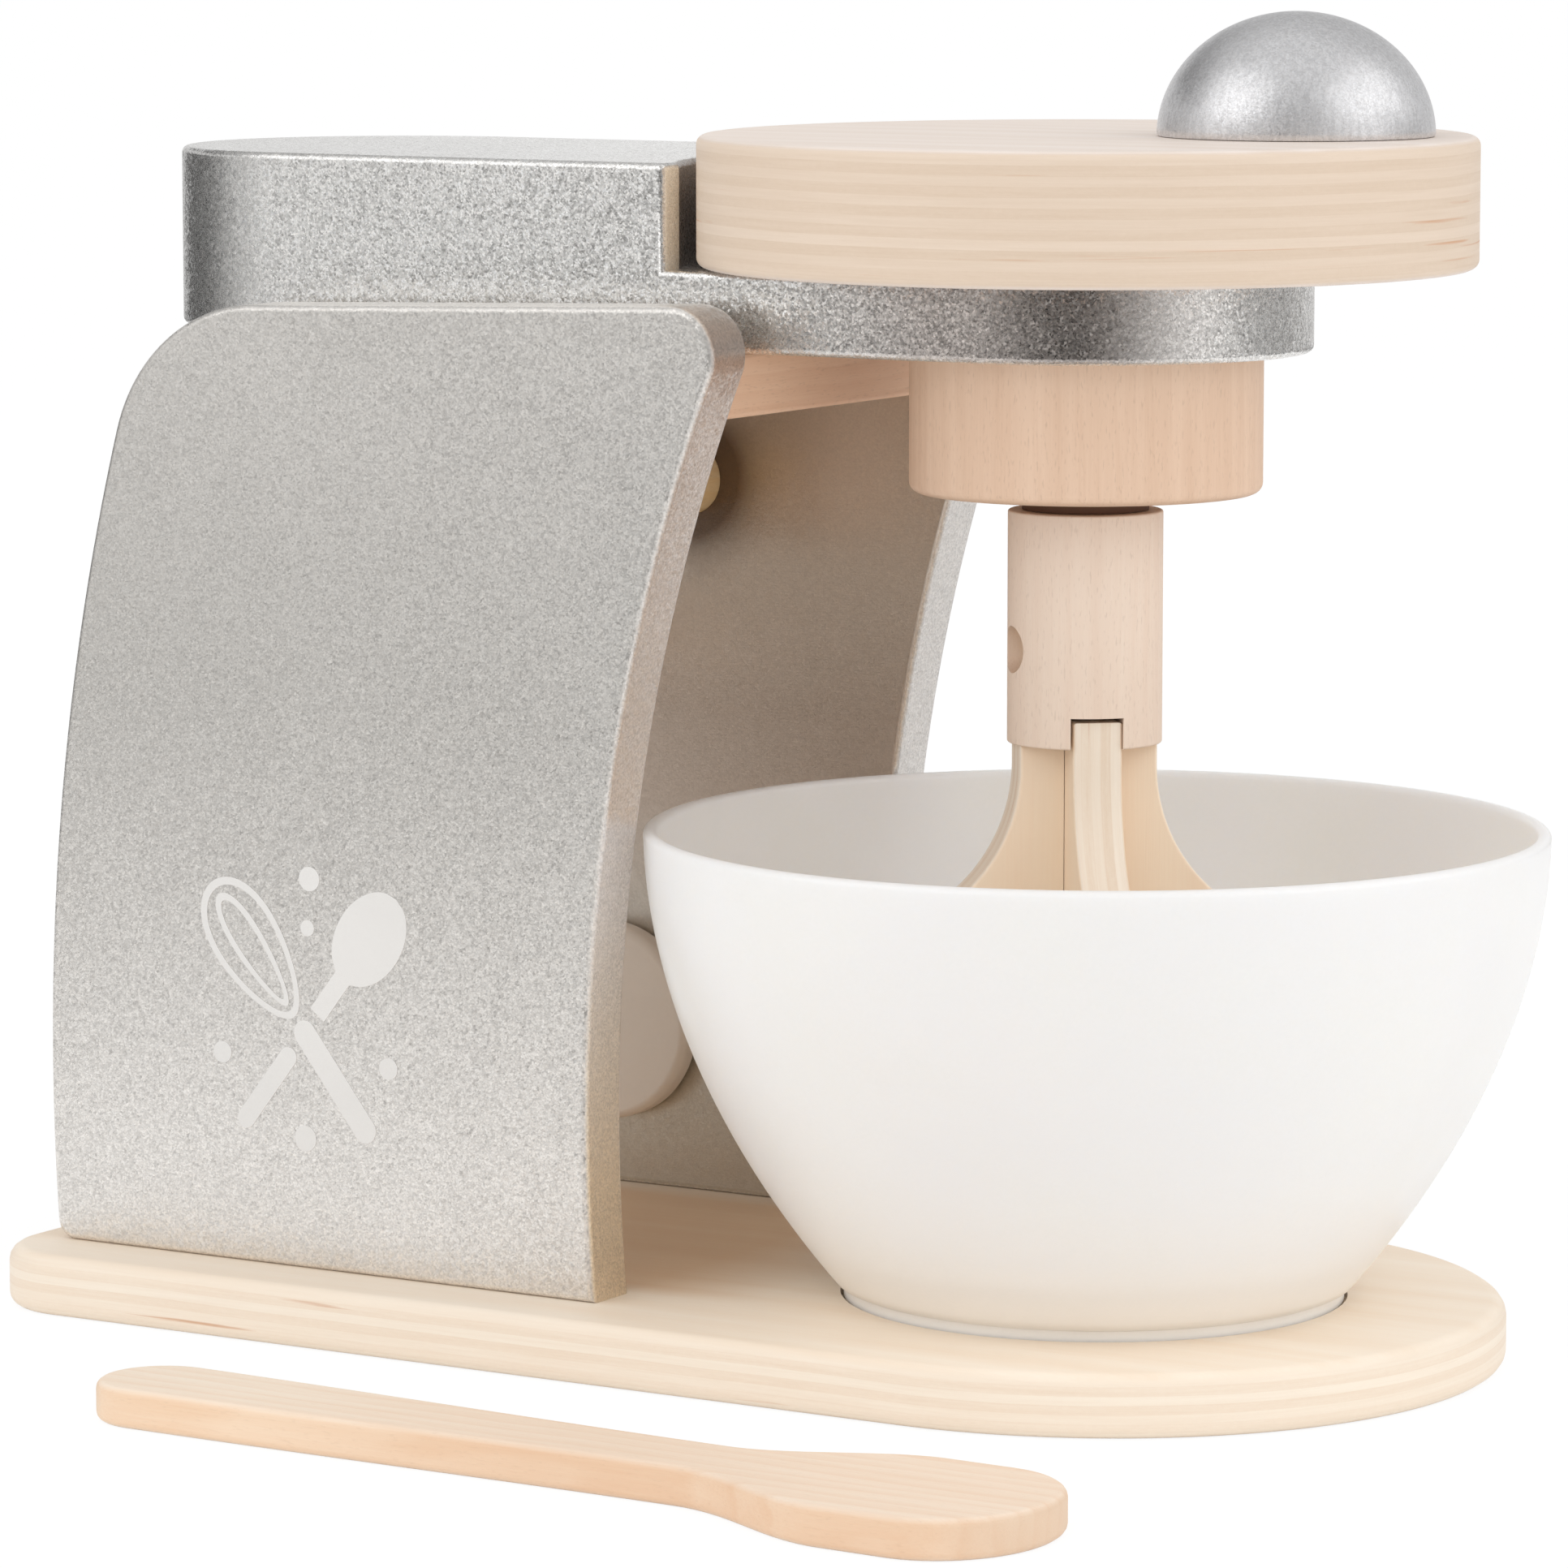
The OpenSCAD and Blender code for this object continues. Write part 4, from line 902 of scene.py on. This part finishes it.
def build_bowl():
    low, high = bowl_low, bowl_high
    centre = (low.x + high.x) / 2
    rim_r = (high.x - low.x) / 2
    wall_z = low.z + FOOT_H
    hollow_z = low.z + FOOT_HOLLOW
    floor_z = hollow_z + BOWL_FLOOR
    round_z = floor_z + FLOOR_ROUND_H
    lip = BOWL_WALL / 2
    ring_r = FOOT_R - FOOT_W

    def radius(z):
        return rim_r * (1 - ((high.z - z) / BOWL_SWELL) ** SWELL_POWER) ** (1 / SWELL_ROOT)

    foot = [(0, hollow_z), (ring_r - 1.5, hollow_z), (ring_r, hollow_z - 1.2), (ring_r + 0.3, low.z + 0.2),
            (ring_r + 0.8, low.z), (FOOT_R - FOOT_BEVEL, low.z), (FOOT_R - 0.15, low.z + FOOT_BEVEL - 0.15),
            (FOOT_R, low.z + FOOT_BEVEL + 0.2), (FOOT_R, wall_z - 0.5)]
    outer = [(radius(z), z) for z in even(wall_z, high.z - lip, 60)]
    rim = arc((rim_r - lip, high.z - lip), lip, radians(15), radians(165), 8)
    inner = [(radius(z) - BOWL_WALL, z) for z in even(high.z - lip, round_z, 60)]
    blend = [(inner[-1][0] - FLOOR_ROUND_W * (1 - cos(t)), round_z - FLOOR_ROUND_H * sin(t))
             for t in even(0, QUARTER, 10)[1:]]
    profile = foot + outer + rim + inner + blend + [(0, floor_z)]
    piece = lathe("bowl_moulded", profile, lambda u, v, h: (centre + u, v, h), FINE_STEPS)
    dress(piece, bowl_white, "bowl", ["bowl"], sharp=50)


def build_speed_knob():
    """The speed knob outside the left panel, and the disc that holds it from inside."""
    low, high = box("speed_knob")
    centre = (low + high) / 2
    radius = (high.x - low.x) / 2

    def turned(u, v, h):
        return (centre.x + u, h, centre.z + v)

    profile = round_profile(radius, low.y, high.y - CROWN_H, arris_low=0.6, arris_high=2.2)
    profile[-1] = (0, high.y)
    piece = lathe("speed_knob_turned", profile, turned, 128)
    level = centre.z + radius * POINTER_PLACE
    pointer = rod((centre.x, high.y + PAST, level), (centre.x, high.y - POINTER_DEPTH, level), POINTER_D)
    dress(piece, knob_white, "speed_knob", ["speed_knob"],
          dowel_bores(GLUE_GAP, "speed_spindle") + [pointer])

    low, high = box("retaining_disc")
    profile = round_profile((high.x - low.x) / 2, low.y, high.y, arris_low=1.3, arris_high=0.8)
    piece = lathe("retaining_disc_turned", profile, turned, 128)
    screw_low, screw_high = box("retaining_screw")
    mouth = screw_high.x - screw_low.x + 2 * HEAD_GAP
    recess = rod((centre.x, low.y - JUST_PAST, centre.z), (centre.x, screw_low.y + SEAT, centre.z), mouth)
    screw_bore = dowel_bores(-SMALL_SCREW_EDGE, "retaining_screw")
    dress(piece, disc_white, "speed_knob", ["retaining_disc"],
          [recess] + dowel_bores(GLUE_GAP, "speed_spindle") + screw_bore)


def spatula_half(s):
    """Half width of the spatula at distance s from the end of its handle, between its round ends."""
    def smooth(t):
        return t * t * (3 - 2 * t)

    end, neck, blade = HANDLE_W / 2, HANDLE_NECK_W / 2, SPATULA_W / 2
    flare = SPATULA_L - SPATULA_BLADE_L - SPATULA_FLARE_L
    if s < flare:
        return end + (neck - end) * smooth((s - end) / (flare - end))
    return neck + (blade - neck) * smooth(min((s - flare) / SPATULA_FLARE_L, 1))


def build_spatula():
    low, high = box("spatula")
    end, blade, tip = HANDLE_W / 2, SPATULA_W / 2, SPATULA_L - SPATULA_TIP_L
    half = [(end * (1 - cos(t)), end * sin(t)) for t in even(0, QUARTER, 12)[1:]]
    half += [(s, spatula_half(s)) for s in even(end, tip, 120)[1:]]
    half += [(tip + SPATULA_TIP_L * sin(t), blade * cos(t)) for t in even(0, QUARTER, 20)[1:-1]]
    outline = [(0, 0)] + [(s, -w) for s, w in half] + [(SPATULA_L, 0)] + half[::-1]
    swing = Matrix.Rotation(SPATULA_ANGLE, 2)
    start = Vector((low.x, base_low.y - SPATULA_OFF))
    outline = [swing @ Vector(p) + start for p in outline]
    piece = plate("spatula_wooden", outline, low.z, high.z, SPATULA_ARRIS, SPATULA_ARRIS)
    dress(piece, spatula_wood, "spatula", ["spatula"])


def flat_print(name, outline):
    return plate(name, outline, PRINT_LOW, PRINT_HIGH, 0.01, 0.03, in_xz)


def stroke(name, start, end, width):
    """A straight printed line with round ends."""
    turn = atan2(end.y - start.y, end.x - start.x)
    outline = arc(end, width / 2, turn - QUARTER, turn + QUARTER, 10)
    outline += arc(start, width / 2, turn + QUARTER, turn + 3 * QUARTER, 10)
    return flat_print(name, outline)


def loop_print(name, outer, inner):
    """A printed ring between two outlines with as many points."""
    verts = [in_xz(p.x, p.y, h) for h in (PRINT_LOW, PRINT_HIGH) for ring in (outer, inner) for p in ring]
    sides = ((0, 1), (2, 3), (0, 2), (1, 3))
    return new_object(name, verts, [face for a, b in sides for face in band(len(outer), a, b)])


def build_print():
    """A plain kitchen motif on the near panel: a whisk and a spoon that cross, with dots round them."""
    crossing = PRINT_PLACE + Vector((0, -4))
    spoon_start, spoon_end, spoon_middle = 3.6, 26.3, 18.5

    def place(turn, x, y=0):
        return crossing + Matrix.Rotation(radians(turn), 2) @ Vector((x, y))

    whisk, spoon = partial(place, 128), partial(place, 52)

    def wire(low, high, half):
        middle, reach = (low + high) / 2, (high - low) / 2
        return [whisk(middle - reach * cos(t), half * sin(t) * (0.8 - 0.2 * cos(t)))
                for t in even(0, 2 * pi, 64)[:-1]]

    def spoon_half(s):
        bowl = 5.6 * sqrt(max(0, 1 - ((s - spoon_middle) / 7.8) ** 2))
        return max(bowl, 1.5) if s < spoon_middle else bowl

    stations = even(spoon_start, spoon_end, 60)[:-1]
    spoon_outline = [spoon(s, -spoon_half(s)) for s in stations] + [spoon(spoon_end)]
    spoon_outline += [spoon(s, spoon_half(s)) for s in stations[::-1]]
    parts = [
        loop_print("wire_outer", wire(2.8, 26.5, 7.4), wire(4.0, 25.3, 6.2)),
        loop_print("wire_inner", wire(4.8, 24.4, 3.4), wire(6.0, 23.2, 2.3)),
        stroke("whisk_handle", whisk(-17), whisk(0), 3.8),
        stroke("spoon_handle", spoon(-17), spoon(-4.8), 3.0),
        flat_print("spoon_head", spoon_outline),
    ]
    for x, z, radius in PRINT_DOTS:
        outline = arc(PRINT_PLACE + Vector((x, z)), radius, 0, 2 * pi, 32)
        parts.append(flat_print("dot", outline[:-1]))
    join(parts, "panel_print")
    dress(parts[0], print_white, "stand", [])


def join(parts, name):
    """Makes one object of several."""
    bm = bmesh.new()
    for part in parts:
        bm.from_mesh(part.data)
    bm.to_mesh(parts[0].data)
    bm.free()
    parts[0].name = name
    for part in parts[1:]:
        bpy.data.objects.remove(part)


def keep_nodes():
    """Nodes whose shape stays get their material."""
    kept = {
        dowel_across: ("rail_dowels", "tilt_stop_dowel", "speed_spindle", "shaft_pin"),
        dowel_upright: ("panel_dowels", "neck_dowels", "collar_dowels", "knob_dowel", "drive_axle"),
        dowel_pivot: ("pivot_dowel",),
        # The washers take the dark brown painted shade.
        gap_shade: ("disc_washer", "shaft_washer"),
        zinc: ("panel_screws",),
        dark_steel: ("retaining_screw",),
    }
    for material, nodes in kept.items():
        for node in nodes:
            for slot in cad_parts[node].material_slots:
                slot.material = material


# Camera, in millimetres
LOOK_AT = Vector((-49.84, 0, 78.59))
CAMERA_PLACE = Vector((493.0, -897.7, 216.7))
LENS = 166.76

# Light of the world, and glow of the floor with its share
SOFT_LIGHT = 0.80
FLOOR_GLOW = 1.04
FLOOR_SHARE = 0.85

# Lamps: place from LOOK_AT to the left, to the camera and up, size, and power in watts
LAMPS = {
    "key": ((900, 500, 750), 1200, 3.3),
    "fill": ((-950, 350, 500), 1300, 3.2),
    "top": ((0, 0, 1300), 1200, 0.8),
    "front": ((100, 1300, 200), 800, 0.8),
}

# Greys of the reflectors by bearing, in degrees from the camera's side to the camera's right
LOW = ((-180, 1.1), (-165, 0.9), (-152, 0.70), (-141, 0.05), (-119, 0.05), (-108, 0.18), (-98, 0.42),
       (-88, 0.64), (-68, 0.95), (-62, 0.90), (-57, 0.43), (-46, 0.29), (-34, 0.28), (-20, 0.03),
       (-12, 0.0), (2, 0.0), (10, 0.14), (22, 0.5), (36, 0.86), (48, 1.08), (62, 1.08), (74, 0.70),
       (86, 0.42), (106, 0.42), (124, 0.66), (150, 0.80), (180, 1.1))
DIM = tuple((bearing, grey * 0.36) for bearing, grey in LOW)
FRONT = ((-35, 0.70), (-12, 0.46), (6, 0.46), (30, 0.72), (60, 0.95), (90, 0.80), (120, 0.62))
ABOVE = ((-180, 1.0), (-150, 0.62), (-115, 0.58), (-85, 0.74), (-60, 0.95), *FRONT, (180, 0.8))
HIGH = ((-180, 0.46), (-150, 0.04), (-125, 0.06), (-100, 0.42), (-80, 0.86), (-60, 0.96), *FRONT,
        (180, 0.46))
TOP = ((-180, 0.60), (180, 0.60))

# Rows of the reflectors: radius, height and greys
RING = ((620, 0, DIM), (620, 78, DIM), (620, 108, LOW), (620, 190, LOW), (620, 240, ABOVE),
        (620, 360, ABOVE))
DOME = ((2300, 0, ABOVE), (2300, 700, ABOVE), (2300, 1200, HIGH), (1500, 1900, TOP), (0.1, 2300, TOP))


def background_rays(tree):
    """A value that is 1 for the rays that show the background."""
    path = add_node(tree, "ShaderNodeLightPath", {}).outputs
    seen = {0: path["Is Camera Ray"], 1: path["Is Glossy Ray"]}
    seen = add_node(tree, "ShaderNodeMath", seen, operation="ADD")
    either = {0: seen.outputs[0], 1: path["Is Transmission Ray"]}
    return add_node(tree, "ShaderNodeMath", either, operation="ADD", use_clamp=True).outputs[0]


def grey_at(stops, bearing):
    """The grey at a bearing, in a straight line between the stops beside it."""
    for (start, first), (end, last) in zip(stops, stops[1:]):
        if bearing <= end:
            return first + (last - first) * (bearing - start) / (end - start)


def build_reflector(name, toward, rows, steps=120):
    """Grey studio paper round the object that only reflections see."""
    verts, greys = [], []
    for radius, height, stops in rows:
        for bearing in even(-180, 180, steps):
            angle = atan2(toward.y, toward.x) + radians(bearing)
            x, y = LOOK_AT.x + radius * cos(angle), LOOK_AT.y + radius * sin(angle)
            verts.append(Vector((x, y, height)) * MM)
            greys.append(grey_at(stops, bearing))
    count = steps + 1
    faces = [[i, i + 1, i + 1 + count, i + count] for i in range(len(verts) - count) if (i + 1) % count]
    mesh = bpy.data.meshes.new(name)
    mesh.from_pydata(verts, [], faces)
    shades = mesh.color_attributes.new("shade", "FLOAT_COLOR", "POINT")
    for datum, grey in zip(shades.data, greys):
        datum.color = (grey, grey, grey, 1)
    material = bpy.data.materials.new(name)
    material.use_nodes = True
    tree = material.node_tree
    tree.nodes.clear()
    shade = add_node(tree, "ShaderNodeAttribute", {}, attribute_name="shade")
    glow = add_node(tree, "ShaderNodeEmission", {"Color": shade.outputs["Color"]})
    add_node(tree, "ShaderNodeOutputMaterial", {0: glow.outputs[0]})
    material.cycles.emission_sampling = "NONE"
    mesh.materials.append(material)
    paper = placed(name, mesh)
    paper.visible_camera = False
    paper.visible_diffuse = False
    paper.visible_transmission = False
    paper.visible_shadow = False


def build_floor():
    """White paper just below the object, without an edge in the picture."""
    reach = 40000
    floor = new_object("floor", [(p.x, p.y, 0) for p in rectangle((-reach, -reach), (reach, reach))],
                       [[0, 1, 2, 3]])
    floor.location.z = -0.02 * MM
    s = Shader("floor_paper", roughness=0.9, specular=0.1)
    s.feed({"Base Color": (0.97, 0.97, 0.97, 1)})
    glow = s.node("ShaderNodeEmission", {"Color": WHITE, "Strength": FLOOR_GLOW})
    share = s.times(background_rays(s.tree), FLOOR_SHARE)
    blend = s.node("ShaderNodeMixShader", {0: share, 1: s.surface.outputs[0], 2: glow.outputs[0]})
    feed(s.tree, s.tree.nodes["Material Output"], {0: blend.outputs[0]})
    floor.data.materials.append(s.material)


def aim(thing, place):
    """Puts a camera or lamp in its place and turns it to the middle of the picture."""
    thing.location = place * MM
    thing.rotation_euler = (LOOK_AT - place).to_track_quat("-Z", "Y").to_euler()


def build_stage():
    """Camera, background, floor, lamps and reflectors."""
    scene = bpy.context.scene
    scene.view_settings.view_transform = "Standard"
    data = bpy.data.cameras.new("camera")
    data.lens = LENS
    scene.camera = placed("camera", data)
    aim(scene.camera, CAMERA_PLACE)

    scene.world = bpy.data.worlds.new("studio")
    scene.world.use_nodes = True
    tree = scene.world.node_tree
    tree.nodes.clear()
    soft = add_node(tree, "ShaderNodeBackground", {"Color": WHITE, "Strength": SOFT_LIGHT})
    white = add_node(tree, "ShaderNodeBackground", {"Color": WHITE, "Strength": 1.0})
    inputs = {0: background_rays(tree), 1: soft.outputs[0], 2: white.outputs[0]}
    blend = add_node(tree, "ShaderNodeMixShader", inputs)
    add_node(tree, "ShaderNodeOutputWorld", {0: blend.outputs[0]})
    build_floor()

    toward = (CAMERA_PLACE - LOOK_AT).normalized()
    left = toward.cross(Vector((0, 0, 1))).normalized()
    for name, ((aside, ahead, above), size, power) in LAMPS.items():
        data = bpy.data.lights.new(name, "AREA")
        data.shape = "SQUARE"
        data.size = size * MM
        data.energy = power
        lamp = placed(name, data)
        lamp.visible_glossy = name != "front"
        aim(lamp, LOOK_AT + left * aside + toward * ahead + Vector((0, 0, above)))

    build_reflector("reflector_low", toward, RING)
    build_reflector("reflector_high", toward, DOME)


build_base()
build_panels()
build_block("head_rest_rail", beech_rail, "stand", corner=0.8, arris=0.05,
            bores=dowel_bores(GLUE_GAP, "rail_dowels"))
build_head()
build_block("neck_block", beech_shaft, "head", corner=1.0, arris=0.8,
            bores=dowel_bores(GLUE_GAP, "pivot_dowel", "neck_dowels"))
build_turned()
build_shaft()
build_blades()
build_bowl()
build_speed_knob()
build_spatula()
build_print()
keep_nodes()
build_stage()
